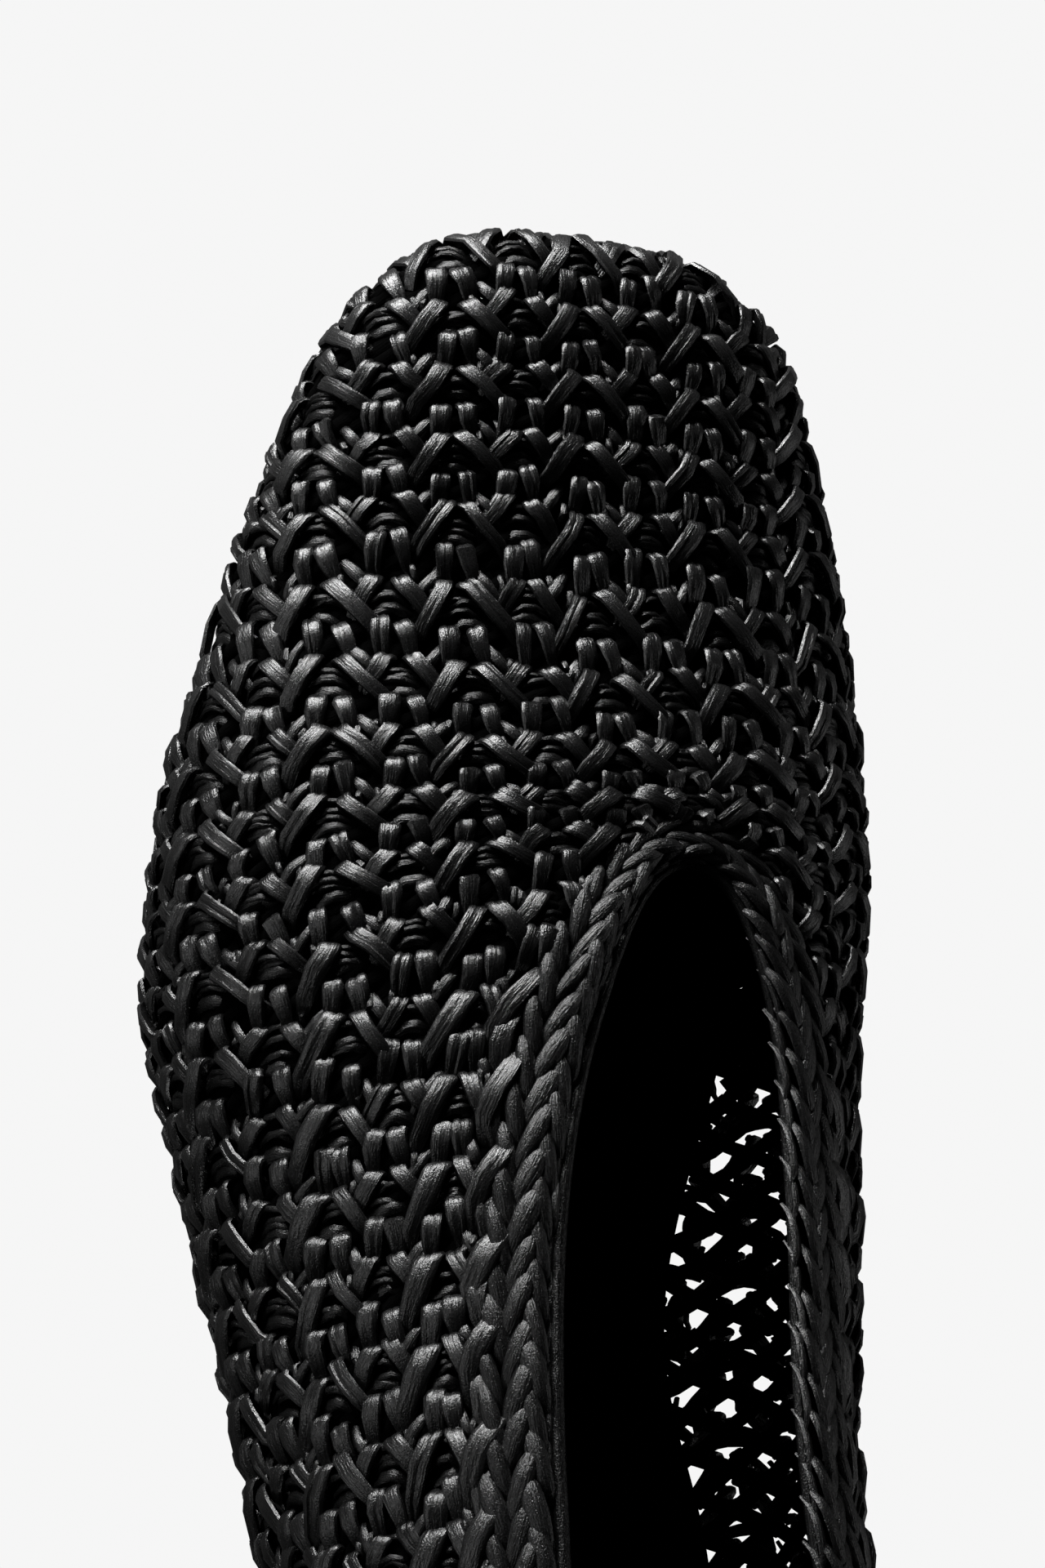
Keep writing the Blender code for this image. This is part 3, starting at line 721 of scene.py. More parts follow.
# %% [markdown]
# ## Strips on the net
# A stitch is a short list of points. Each holds five values: across and along as shares of the pitch,
# height above the last and width in millimetres, and twist in degrees. A smooth curve runs through them.
# One stitch could be modelled and copied about, but copies would neither bend with the last nor differ. So
# the list is carried to every place of the net, and each strip wanders a little, as one laid by hand does.
# Round the tip of the throat the strips dive under the plait, and none may hang into the mouth.

# %% Keeping the throat clear
TIP_POINTS, DIVE_REACH, DIVE_FROM, DIVE_TO = 45, 0.016, 0.0030, 0.0062
THROAT_BACK = -0.060


def tip_dive(point):
    """Height share: 1 away from the throat's tip, near it the larger of two smooth steps.

    One goes by the distance from the mouth's edge, the other is the cube of a step by distance from the tip.
    """
    shape = point.shape[:2]
    point = point.reshape(-1, 3)
    edge = np.concatenate([collar_points[-TIP_POINTS:], collar_points[:TIP_POINTS]])
    from_tip = np.linalg.norm(point - throat_tip, axis=1)
    close = from_tip < DIVE_REACH
    off = np.linalg.norm(point[close][:, None] - edge[None], axis=2).min(1)
    share = np.ones(len(point))
    by_edge = ease((off - DIVE_FROM) / (DIVE_TO - DIVE_FROM))
    by_tip = ease(from_tip[close] / DIVE_REACH) ** 3
    share[close] = np.maximum(by_edge, by_tip)
    return share.reshape(*shape, 1)


def clear_of_throat(w, u):
    """True for strips with no point inside the front of the mouth."""
    inner = np.abs(u - throat_lead(w)) < np.where(u < throat_lead(w), collar_run(w, -1), collar_run(w, 1))
    return ~((w > THROAT_BACK) & inner).any(1)


print("edge points that strips dive under:", 2 * TIP_POINTS)

# %% Strips from a list of points
MM = 0.001
BEND_RINGS = np.array([0.0, 1.0, 1.6, 2.2, 2.8, 3.8, 5.0, 6.0])
LIFT = 0.9
POINT_STEADINESS, HEIGHT_WANDER, WIDTH_WANDER, TWIST_WANDER = 3, 0.10, 0.07, 5
LEAST_WIDTH, MOST_THICK = 0.3, 0.8
FOLD_KEPT, FOLD_FADE = 2, 2.5


def stitch_bands(shape, column, row, rings, thickness, side=1, wander=0.04, other=None, share=None, fold=0):
    """Carries one stitch shape to every net place, blended to another by share; each strip varies a little.

    The curve's shares are added to the net place; the path is the wall's point there plus its normal times
    the height. A fold slews the strip's top towards the row, and the slew dies away down the strip.
    """
    count = len(column)
    controls = np.repeat(np.array(shape, float)[None], count, 0)
    if other is not None:
        controls += (np.array(other, float)[None] - controls) * share[:, None, None]
    controls[..., 0] *= side
    controls[..., 4] *= side
    shift = rng.normal(0, wander, (count, 1, 2))
    controls[..., :2] += shift + rng.normal(0, wander / POINT_STEADINESS, controls[..., :2].shape)
    controls[..., 2] += rng.normal(0, HEIGHT_WANDER, (count, 1))
    controls[..., 3] *= rng.normal(1, WIDTH_WANDER, (count, 1))
    controls[..., 4] += rng.normal(0, TWIST_WANDER, (count, 1))
    curve = along_controls(controls, rings)
    w, u = net_place(column[:, None] + curve[..., 0], row[:, None] - curve[..., 1])
    normal = wall_normal(w, u)
    point = wall_point(w, u)
    path = point + normal * (curve[..., 2:3] + LIFT) * MM * tip_dive(point)
    width = np.maximum(curve[..., 3], LEAST_WIDTH) * MM
    thick = np.minimum(thickness * MM, width * MOST_THICK)
    slew = np.radians(-fold * side) * (1 - ease((rings - FOLD_KEPT) / FOLD_FADE)) + np.zeros((count, 1))
    clear = clear_of_throat(w, u)
    return tuple(values[clear] for values in (path, normal, width, thick, np.radians(curve[..., 4]), slew))


def joined(name, groups, section_points, material):
    """Joins several sets of strips into one piece."""
    whole = [np.concatenate(parts) for parts in zip(*groups)]
    return piece_from_bands(name, *whole, section_points, material)


print("a strip on the net has", len(BEND_RINGS), "rings")

# %% [markdown]
# ## Arms
# Arms are what the eye meets first: two flat strips come out of the hole at a stitch's top, fold over and
# run down to both sides like a roof. Long arms lie over the short ones of the next column. The left long
# arm hangs steeper than the right one, and steeper still on the outer side behind the ball, so a third
# list is blended in there. One list for all would be simpler, but the picture shows this change of slant
# clearly.

# %% Lists for the arms
LONG_ARM = (
    (0.175, -0.02, 0.1, 1.9, 0),
    (0.145, 0.04, 0.7, 2.2, 0),
    (0.155, 0.035, 1.6, 2.3, 0),
    (0.235, -0.05, 2.3, 2.1, 0),
    (0.44, -0.24, 2.4, 2.0, 0),
    (0.68, -0.47, 2.1, 1.9, -6),
    (0.84, -0.62, 0.7, 1.6, -12),
)
LEFT_ARM = (
    (0.17, -0.02, 0.1, 1.9, 0),
    (0.14, 0.04, 0.7, 2.2, 0),
    (0.15, 0.035, 1.6, 2.3, 0),
    (0.21, -0.06, 2.4, 2.2, 0),
    (0.37, -0.27, 2.5, 2.1, 0),
    (0.55, -0.51, 2.1, 2.0, -8),
    (0.67, -0.67, 0.7, 1.6, -14),
)
STEEP_ARM = (
    (0.20, -0.03, 0.1, 2.2, 0),
    (0.165, 0.03, 0.7, 2.6, 0),
    (0.175, 0.025, 1.7, 2.8, 0),
    (0.23, -0.08, 2.4, 2.7, -6),
    (0.37, -0.36, 2.4, 2.6, -12),
    (0.52, -0.66, 1.9, 2.1, -18),
    (0.60, -0.84, 0.6, 1.2, -24),
)
SHORT_ARM = (
    (0.20, 0.07, 0.1, 1.9, 0),
    (0.17, 0.125, 0.7, 2.2, 0),
    (0.18, 0.12, 1.5, 2.3, 0),
    (0.25, 0.03, 2.0, 2.2, 0),
    (0.37, -0.10, 1.8, 2.1, 0),
    (0.50, -0.24, 1.3, 1.9, 0),
    (0.59, -0.34, 0.4, 1.4, 0),
)
print("points in the list of an arm:", len(LONG_ARM))

# %% Laying the arms
STRIP_THICKNESS, FOLD = 0.85, 20
KNOT_FROM_ROW = 10
STEEP_FROM, STEEP_REACH, STEEP_SIDE, STEEP_SIDE_REACH = -0.030, 0.035, -0.012, 0.014


def quarter_share(column, row):
    """0 on the vamp, 1 on the outer side behind the ball: a smooth step along times one across."""
    w, u = net_place(column, row)
    return ease((STEEP_FROM - w) / STEEP_REACH) * ease((STEEP_SIDE - u) / STEEP_SIDE_REACH)


at_edge = ((columns == OUTER_EDGE_COLUMN) | (columns == INNER_EDGE_COLUMN)) & (rows > KNOT_FROM_ROW)
is_short = ~is_long & ~at_edge
is_long = is_long & ~at_edge
long_at, short_at = (columns[is_long], rows[is_long]), (columns[is_short], rows[is_short])
steep = quarter_share(*long_at)
arms_long = joined(
    "long_arms",
    [
        stitch_bands(LONG_ARM, *long_at, BEND_RINGS, STRIP_THICKNESS, 1, fold=FOLD),
        stitch_bands(
            LEFT_ARM, *long_at, BEND_RINGS, STRIP_THICKNESS, -1, other=STEEP_ARM, share=steep, fold=FOLD
        ),
    ],
    BAND_SECTION,
    strip_leather,
)
arms_short = joined(
    "short_arms",
    [stitch_bands(SHORT_ARM, *short_at, BEND_RINGS, STRIP_THICKNESS, side, fold=FOLD) for side in (1, -1)],
    BAND_SECTION,
    strip_leather,
)

# %% [markdown]
# ## Knots beside the plait
# Along the quarters a file of knots ties the net to the plait: a broad loop lies over the edge, and its
# tail slips back under it. They take the place of the stitches in the edge columns. A knot could be one
# closed loop; two open strips whose ends are hidden look the same and need fewer faces.

# %% Knots beside the plait
KNOT_THICKNESS = 0.9
KNOT = (
    (0.45, 0.12, 0.6, 1.5, 0),
    (0.27, 0.12, 1.9, 2.2, 0),
    (0.02, -0.04, 2.6, 2.6, 0),
    (-0.27, -0.28, 2.7, 2.7, 0),
    (-0.42, -0.52, 2.3, 2.3, 0),
    (-0.40, -0.72, 1.4, 1.6, 0),
    (-0.28, -0.86, 0.5, 0.9, 0),
)
KNOT_TAIL = (
    (0.14, -0.20, 0.6, 1.3, 0),
    (-0.02, -0.32, 1.6, 1.8, 0),
    (-0.14, -0.48, 2.1, 2.1, 0),
    (-0.17, -0.66, 2.2, 2.2, 0),
    (-0.10, -0.84, 1.9, 2.0, 0),
    (0.02, -1.00, 1.3, 1.5, 0),
    (0.12, -1.12, 0.4, 0.9, 0),
)
outer_edge, inner_edge = at_edge & (columns < 0), at_edge & (columns > 0)
knots = joined(
    "knots",
    [
        stitch_bands(shape, columns[edge], rows[edge], BEND_RINGS, KNOT_THICKNESS, side)
        for shape in (KNOT, KNOT_TAIL)
        for edge, side in ((outer_edge, 1), (inner_edge, -1))
    ],
    BAND_SECTION,
    strip_leather,
)

# %% [markdown]
# ## Teeth
# Below every stitch's top stand two short upright strips, the legs of the loop that is pulled through the
# row before. They look like a pair of teeth with round tops. They are strips like the arms, so the same
# builder takes another list. Below short stitches they start a little nearer the toe.

# %% Teeth
SHORT_LEAD = 0.10
RIGHT_TOOTH = (
    (0.175, -0.58, 0.1, 1.2, 0),
    (0.15, -0.53, 0.7, 1.6, 0),
    (0.155, -0.52, 1.5, 2.1, 0),
    (0.18, -0.61, 2.2, 2.5, 6),
    (0.225, -0.78, 1.9, 2.1, 12),
    (0.265, -0.94, 1.2, 1.5, 12),
    (0.29, -1.06, 0.3, 1.0, 14),
)
LEFT_TOOTH = (
    (0.18, -0.57, 0.1, 1.2, 0),
    (0.155, -0.52, 0.7, 1.6, 0),
    (0.16, -0.51, 1.5, 2.1, 0),
    (0.175, -0.60, 2.2, 2.5, -6),
    (0.195, -0.77, 2.0, 2.3, -12),
    (0.215, -0.94, 1.3, 1.8, -14),
    (0.225, -1.06, 0.3, 1.2, -16),
)
lead_rows = rows - SHORT_LEAD * ((columns % 2 == 1) & ~at_edge)
teeth = [
    joined(
        name,
        [stitch_bands(shape, columns[~at_edge], lead_rows[~at_edge], BEND_RINGS, STRIP_THICKNESS, side)],
        BAND_SECTION,
        strip_leather,
    )
    for name, shape, side in (("right_teeth", RIGHT_TOOTH, 1), ("left_teeth", LEFT_TOOTH, -1))
]

# %% [markdown]
# ## Strands under the stitch's top
# Under the roof of the arms three thin strands and a wider one lie across the column, where the strip of
# the row before passes behind. They could be one striped piece; as strands of their own they cast shadows
# on each other. They lie deep, so a plain section with six corners is enough.

# %% Strands under the stitch's top
STRAND_RINGS = np.linspace(0, 4, 6)
STRAND_THICKNESS, STRAND_WANDER = 0.7, 0.05
# Drop along the column, width and height of each strand
BUNDLE = ((-0.09, 0.7, 1.35), (-0.17, 0.75, 1.55), (-0.25, 0.8, 1.45), (-0.36, 1.5, 1.25))


def strand(drop, width, height):
    """A short arched strand across the column: its ends bend down and go under the arms."""
    return (
        (-0.34, drop - 0.12, 0.2, width * 0.8, 0),
        (-0.19, drop - 0.04, height * 0.85, width, 0),
        (0.00, drop, height, width, 0),
        (0.19, drop - 0.04, height * 0.85, width, 0),
        (0.34, drop - 0.12, 0.2, width * 0.8, 0),
    )


# Their darker leather is painted shade from the arms above.
bundles = joined(
    "bundles",
    [
        stitch_bands(
            strand(*sizes), columns, lead_rows, STRAND_RINGS, STRAND_THICKNESS, wander=STRAND_WANDER
        )
        for sizes in BUNDLE
    ],
    STRAND_SECTION,
    bundle_painted_shade,
)

# %% [markdown]
# ## Nubs beside the stitch's top
# Between two stitches of a row a small turn of the strip shows as a nub. It is no bigger than a grain of
# rice. A bump in the leather could hint at it, but only a real strip closes the gap between the columns.

# %% Nubs beside the stitch's top
NUB_RINGS, NUB_THICKNESS = np.linspace(0, 4, 5), 0.6
NUB = (
    (0.37, 0.13, 0.3, 0.7, 0),
    (0.37, 0.06, 1.5, 0.8, 0),
    (0.38, -0.02, 1.7, 0.8, 0),
    (0.40, -0.10, 1.2, 0.7, 0),
    (0.41, -0.16, 0.3, 0.6, 0),
)
nubs = joined(
    "nubs",
    [
        stitch_bands(NUB, columns, lead_rows, NUB_RINGS, NUB_THICKNESS, side, wander=STRAND_WANDER)
        for side in (1, -1)
    ],
    STRAND_SECTION,
    strip_leather,
)

# %% [markdown]
# ## Strands behind
# Between two columns a slanting strand shows behind the teeth. Beside long stitches it leans one way,
# beside short ones the other. A mirrored copy would serve as well; one function with a slant keeps both
# alike.

# %% Strands behind
BACK_THICKNESS = 0.8


def back_strand(slant):
    """A slanting strand half way between two columns: it rises to its middle and sinks again."""
    return (
        (0.5 - 0.24 * slant, -1.19, 0.3, 0.9, 0),
        (0.5 - 0.12 * slant, -1.06, 1.3, 1.3, 0),
        (0.5, -0.93, 1.7, 1.4, 0),
        (0.5 + 0.12 * slant, -0.80, 1.3, 1.3, 0),
        (0.5 + 0.24 * slant, -0.67, 0.3, 0.9, 0),
    )


backs = joined(
    "back_strands",
    [
        stitch_bands(back_strand(slant), *places, STRAND_RINGS, BACK_THICKNESS)
        for slant, places in ((-1, long_at), (1, short_at))
    ],
    STRAND_SECTION,
    strip_leather,
)

# %% [markdown]
# ## The ground
# Behind the stitches crossing strands close the upper, and nobody sees them as strands. A sheet would
# close it too, but in the arch the picture shows pale spots: holes with the floor behind them. So a net of
# crossing strands lies everywhere, and a second, closer set lies everywhere but in the arch.

# %% Ground net
NET_REACH, NET_RISE, NET_WIDTH, NET_SLOPE = 0.56, 0.4, 2.0, 0.5
NET_THICKNESS, NET_WANDER = 1.4, 0.015


def net_strand(slant, level):
    """One crossing strand from one column's edge to the other: a straight slope that rises twice."""
    across = np.linspace(-NET_REACH, NET_REACH, 5)
    height = NET_RISE * (np.array([0.0, 1.0, 0.0, 1.0, 0.0]) + (slant > 0))
    along = level + slant * across * NET_SLOPE
    return np.stack([across, along, height, np.full(5, NET_WIDTH), np.zeros(5)], -1)


# The ground's leather is painted shade: darker than the strips, so the strands read as the shade behind them.
ground = joined(
    "ground_net",
    [
        stitch_bands(net_strand(slant, level), columns, rows, STRAND_RINGS, NET_THICKNESS, wander=NET_WANDER)
        for slant in (1, -1)
        for level in (-0.25, -0.75)
    ],
    STRAND_SECTION,
    painted_shade_leather,
)

# %% Close ground away from the arch
ARCH_FROM, ARCH_TO, ARCH_TOP = -0.053, -0.120, 0.004
FILL_RINGS, FILL_THICKNESS = np.linspace(0, 4, 4), 0.8
HALF_ROW = 0.5
ground_w, ground_u = net_place(columns, rows - HALF_ROW)
in_arch = (ground_w < ARCH_FROM) & (ground_w > ARCH_TO) & (ground_u > ARCH_TOP)
# The close ground has the same painted shade leather.
fill = joined(
    "ground_fill",
    [
        stitch_bands(net_strand(slant, level), columns[~in_arch], rows[~in_arch], FILL_RINGS, FILL_THICKNESS)
        for slant in (1, -1)
        for level in (0.0, -0.5)
    ],
    STRAND_SECTION,
    painted_shade_leather,
)
for piece in (arms_long, arms_short, knots, *teeth, bundles, nubs, backs, ground, fill):
    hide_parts("upper")

# %% [markdown]
# ## The plait round the mouth
# A flat plait edges the mouth. What shows of it are four files of leaf-shaped turns that lean to and fro,
# and a thin cord on the inner edge. It could be drawn with three long strands that cross, but they would
# have to be squeezed where the throat turns. So the leaves are short bands, set one by one along the edge
# and closer together at the throat. A core below them closes the gaps.

# %% Frame along a closed line
NORMAL_W, NORMAL_U = np.arange(-0.223, -0.030, 0.001), np.arange(-0.060, 0.0601, 0.001)


def collar_frame(place):
    """Point, direction, outward direction and normal at a place along the plait, in metres.

    Each is read straight between the two nearest points of the plait's line.
    """
    count = len(plait_line)
    at = np.mod(place / plait_length * count, count)
    i = at.astype(int) % count
    t = (at - np.floor(at))[..., None]

    def read(values):
        return values[i] * (1 - t) + values[(i + 1) % count] * t

    return read(plait_line), read(plait_along), read(plait_away), read(plait_normal)


def smooth_loop(values, passes):
    """Smooths a closed line: each pass takes a quarter of both neighbours and half of the value itself."""
    for _ in range(passes):
        values = (np.roll(values, 1, 0) + 2 * values + np.roll(values, -1, 0)) / 4
    return values


def nearest_wall_normals(points):
    """Wall normals at the chart places nearest to some points.

    Up to a constant the squared distance is the grid point's own square minus twice the product of the two.
    """
    w, u = np.meshgrid(NORMAL_W, NORMAL_U, indexing="ij")
    grid = wall_point(w, u).reshape(-1, 3)
    nearest = ((grid**2).sum(1) - 2 * points @ grid.T).argmin(1)
    return wall_normal(w.ravel()[nearest], u.ravel()[nearest])


def loop_frame(points, normal):
    """Direction along a closed line, direction away from the mouth, and a normal square to both.

    The first is the chord between two neighbours, the second the cross product of it and the given normal.
    """
    along = unit(np.roll(points, -1, 0) - np.roll(points, 1, 0))
    away = unit(np.cross(along, normal))
    return along, away, np.cross(away, along)


print("chart places searched for normals:", len(NORMAL_W) * len(NORMAL_U))

# %% The plait's middle line
PLAIT_MIDDLE = 0.0044
EDGE_PASSES, LINE_PASSES, NORMAL_PASSES = 4, 20, 60
mouth_edge = smooth_loop(collar_points, EDGE_PASSES)
mouth_normal = unit(smooth_loop(nearest_wall_normals(mouth_edge), NORMAL_PASSES))
steps = np.arange(len(mouth_edge))
from_tip = np.minimum(steps, len(mouth_edge) - steps)
squeezed = plait_squeeze(from_tip * collar_length / len(mouth_edge))[:, None]
plait_line = mouth_edge + loop_frame(mouth_edge, mouth_normal)[1] * PLAIT_MIDDLE * squeezed
plait_line, plait_length = even_loop(smooth_loop(plait_line, LINE_PASSES), len(plait_line))
plait_normal = unit(smooth_loop(nearest_wall_normals(plait_line), NORMAL_PASSES))
plait_along, plait_away, plait_normal = loop_frame(plait_line, plait_normal)
print("plait length", round(float(plait_length), 4))

# %% Places and strips of the plait
PLAIT_PITCH, COUNT_STEPS = 0.0048, 1441
MOUTH_LEAN, LEAN_REACH = 0.0010, 0.030
LEAF_SHIFT, LEAF_RISE, LEAF_SWELL, LEAST_LEAF = 0.00020, 0.00015, 0.09, 0.0003


def squeeze_at(place):
    """The plait's squeeze at a place along it, by its distance from the throat's tip."""
    return plait_squeeze(np.minimum(place, plait_length - place))


def leaf_places(shift):
    """Places of the leaves, closer together where the plait is squeezed, from the running count."""
    place = np.linspace(0, plait_length, COUNT_STEPS)
    count = np.concatenate([[0], np.cumsum(np.diff(place) / (PLAIT_PITCH * squeeze_at(place[1:])))])
    leaves = int(round(count[-1]))
    return np.interp(np.mod(np.arange(leaves) + shift, leaves) * count[-1] / leaves, count, place)


def inner_share(place):
    """0 on the outer side and at both tips of the mouth, 1 along the inner side, where the plait leans in."""
    inner = plait_length - place
    return ease(inner / LEAN_REACH) * ease((plait_length / 2 - inner) / LEAN_REACH)


def plait_bands(along, across, height, width, start, rings, thickness):
    """Strips on the plait's frame: each point is metres along, metres outward and height, then width.

    The path is the frame's point plus the outward direction and the normal, each times its own value.
    """
    size = squeeze_at(start)[:, None, None]
    controls = np.stack(np.broadcast_arrays(along, across, height, width), -1)[None] * size
    controls[..., :2] += rng.normal(0, LEAF_SHIFT, (len(start), 1, 2))
    controls[..., 2] += rng.normal(0, LEAF_RISE, (len(start), 1))
    controls[..., 3] *= rng.normal(1, LEAF_SWELL, (len(start), 1))
    curve = along_controls(controls, rings)
    point, _, away, normal = collar_frame(start[:, None] + curve[..., 0])
    across = curve[..., 1:2] - MOUTH_LEAN * inner_share(start)[:, None, None]
    path = point + away * across + normal * curve[..., 2:3]
    thick = np.minimum(thickness, curve[..., 3] * MOST_THICK)
    flat = np.zeros(curve.shape[:2])
    return path, normal, np.maximum(curve[..., 3], LEAST_LEAF), thick, flat, flat


print(len(leaf_places(0.0)), "leaves in a file")

# %% Leaves
LEAF_RINGS = np.linspace(0, 6, 8)
LEAF_WIDTHS = np.array([0.50, 0.92, 1.0, 1.0, 0.92, 0.72, 0.40])
LEAF_DIP, LEAF_PEAK, LEAF_FALL, LEAF_THICKNESS = 0.0012, 0.08, 0.0003, 0.0011
# Middle from the mouth's edge, lean, half length, height, width, and start as a share of the pitch
LEAF_FILES = (
    (0.0018, -0.0001, 0.0040, 0.0016, 0.0012, 0.10),
    (0.0030, -0.0010, 0.0041, 0.0029, 0.0023, 0.00),
    (0.0050, 0.0013, 0.0041, 0.0031, 0.0024, 0.50),
    (0.0072, -0.0012, 0.0041, 0.0029, 0.0023, 0.00),
)


def leaf(middle, lean, reach, top, widest):
    """A leaf: a straight slanting path with a round high end, which tapers and dips under the next leaf."""
    t = np.linspace(-1, 1, len(LEAF_WIDTHS))
    height = top - LEAF_DIP * np.abs(t * (1 - LEAF_PEAK) + LEAF_PEAK) ** 3 - LEAF_FALL * t
    return t * reach, middle - PLAIT_MIDDLE + lean * t, height, widest * LEAF_WIDTHS


plait = joined(
    "plait_leaves",
    [
        plait_bands(*leaf(*sizes), leaf_places(shift), LEAF_RINGS, LEAF_THICKNESS)
        for *sizes, shift in LEAF_FILES
    ],
    LEAF_SECTION,
    plait_leather,
)

# %% [markdown]
# ## Core and rim of the plait
# Inside a real plait the strands fill the space themselves. Here a dark core under the leaves does it, and
# a thin rim on the inner edge is the cord that the eye sees against the dark mouth. Both are plain rings:
# one oval carried once round the plait's line, so the ring has no seam.

# %% Core and rim of the plait
RING_CORNERS, RING_SQUARE, RING_STEPS = 10, 0.8, 480
PLAIN_TONE = 0.5
# Middle from the mouth's edge, height, width and thickness
CORE_RING, RIM_RING = (0.0046, 0.0007, 0.0066, 0.0026), (0.0009, 0.0009, 0.0016, 0.0020)
RIM_THINNED = 0.5


def ring_piece(name, path, away, normal, size, width, thickness, material):
    """A closed ring: a flattened oval, squared a little by a power, carried once round a closed path."""
    count = len(path)
    turn = np.linspace(0, 2 * np.pi, RING_CORNERS, endpoint=False)
    flat = np.sign(np.cos(turn)) * np.abs(np.cos(turn)) ** RING_SQUARE * width / 2
    proud = np.sign(np.sin(turn)) * np.abs(np.sin(turn)) ** RING_SQUARE * thickness / 2
    oval = away[:, None] * flat[:, None] + normal[:, None] * proud[:, None]
    vertices = path[:, None] + oval * size[:, None]
    i, j = np.meshgrid(np.arange(count), np.arange(RING_CORNERS), indexing="ij")
    next_i, next_j = (i + 1) % count, (j + 1) % RING_CORNERS
    corners = ((i, j), (next_i, j), (next_i, next_j), (i, next_j))
    faces = np.stack([a * RING_CORNERS + b for a, b in corners], -1).reshape(-1, 4)
    steps = np.linalg.norm(np.diff(path, axis=0, append=path[:1]), axis=1)
    run = np.minimum(np.cumsum(steps), steps.sum() - np.cumsum(steps))
    grid = np.stack(np.broadcast_arrays(run[:, None], np.abs(turn / np.pi - 1)[None] * thickness), -1)
    tone = np.full(count * RING_CORNERS, PLAIN_TONE)
    return piece_from_arrays(name, vertices.reshape(-1, 3), faces, grid.reshape(-1, 2), tone, material)


def plait_ring(name, across, height, width, thickness, material, thin=0.0):
    """A ring beside the plait's middle line, squeezed with it at the throat, thinned along the inner side."""
    place = np.arange(RING_STEPS) * plait_length / RING_STEPS
    point, _, away, normal = collar_frame(place)
    size = squeeze_at(place)[:, None]
    path = point + (away * (across - PLAIT_MIDDLE) + normal * height) * size
    size = size * (1 - thin * inner_share(place))[:, None]
    return ring_piece(name, path, away, normal, size, width, thickness, material)


# The core's leather is painted shade, as dark as the shade in the mouth.
plait_core = plait_ring("plait_core", *CORE_RING, painted_shade_leather)
# Painted shade: the rim's leather is darker than the leaves, as the shaded turn of the plait into the mouth.
rim_painted_shade = leather("rim_painted_shade", (0.001, 0.001, 0.001), (0.004, 0.004, 0.004), 0.9, 0.2)
plait_rim = plait_ring("plait_rim", *RIM_RING, rim_painted_shade, thin=RIM_THINNED)
for piece in (plait, plait_core, plait_rim):
    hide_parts("collar_plait")

# %% [markdown]
# ## Lasting edge
# Below the last row the looped wall is turned in under the foot and held between insole and sole. Every
# strip could be led round that edge, but only a dark line of it can be seen, so a single flat ring follows
# the feather edge.

# %% Ring along the feather edge
LASTING_WIDTH, LASTING_THICKNESS, LASTING_INSET = 0.0075, 0.0042, 0.0006
LASTING_STEPS, LASTING_PASSES = 320, 6
UPPER_WALL = 0.003
back = len(turns) // 2
outer_rim = [rims["heel"][back::-1], rims["lateral"], rims["toe"][::-1]]
inner_rim = [rims["medial"][::-1], rims["heel"][:back:-1]]
rim_loop = np.concatenate([*outer_rim, *inner_rim])
feather_loop = spoke_profiles(rim_loop)[0][:, len(ABOVE) + len(BELOW) - 1]
feather_loop, feather_length = even_loop(feather_loop, LASTING_STEPS)
feather_loop = smooth_loop(feather_loop, LASTING_PASSES)
upright = np.tile([0.0, 0.0, 1.0], (len(feather_loop), 1))
_, inward, upright = loop_frame(feather_loop, upright)
lasting_path = feather_loop + inward * LASTING_INSET - upright * UPPER_WALL / 2 + home
# Its leather is painted shade, so only a dark line of it shows.
lasting_edge = ring_piece(
    "lasting_edge", lasting_path, inward, upright, np.ones((len(lasting_path), 1)),
    LASTING_WIDTH, LASTING_THICKNESS, painted_shade_leather,
)
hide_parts("upper")
print("feather edge", round(float(feather_length), 4), "inward at the back:", inward[0].round(2))

# %% [markdown]
# ## Sole and insole
# Under the foot lie two plates: the insole board inside the shoe and the leather sole outside. The picture
# shows only a dark line of them, so they stay plain. A plate could be cut out of a bent sheet; here we
# carry one flat section with round edges from heel to toe, which keeps the edges clean all the way round.

# %% Plates under the foot
SOLE_INSET, SOLE_WAIST_CUT, SOLE_THICKNESS = 0.004, 0.010, 0.0032
INSOLE_INSET, INSOLE_THICKNESS = 0.0086, 0.0035
PLATE_RINGS, PLATE_EDGE, PLATE_END, PLATE_MAP = 120, 0.0008, 0.00005, 0.03
FLAT_POINTS, FLAT_REACH, EDGE_POINTS, EDGE_SQUARE = 13, 0.96, 9, 0.5


def plate_edges(inset, waist_cut):
    """Outer and inner edge of a plate, ordered by x: the widest line moved in along its spokes."""
    rim = np.concatenate([rims[name] for name in ("heel", "lateral", "toe", "medial")])
    x = np.clip(rim[:, 0], HEEL_CENTRE, TOE_CENTRE)
    centre = np.stack([x, section(x, "ridge_shift")], -1)
    spoke = rim - centre
    moved = rim - unit(spoke) * (inset + waist_cut * waist_share(rim))
    outer, inner = moved[spoke[:, 1] > -LEAST_REACH], moved[spoke[:, 1] < LEAST_REACH]
    return outer[np.argsort(outer[:, 0])], inner[np.argsort(inner[:, 0])]


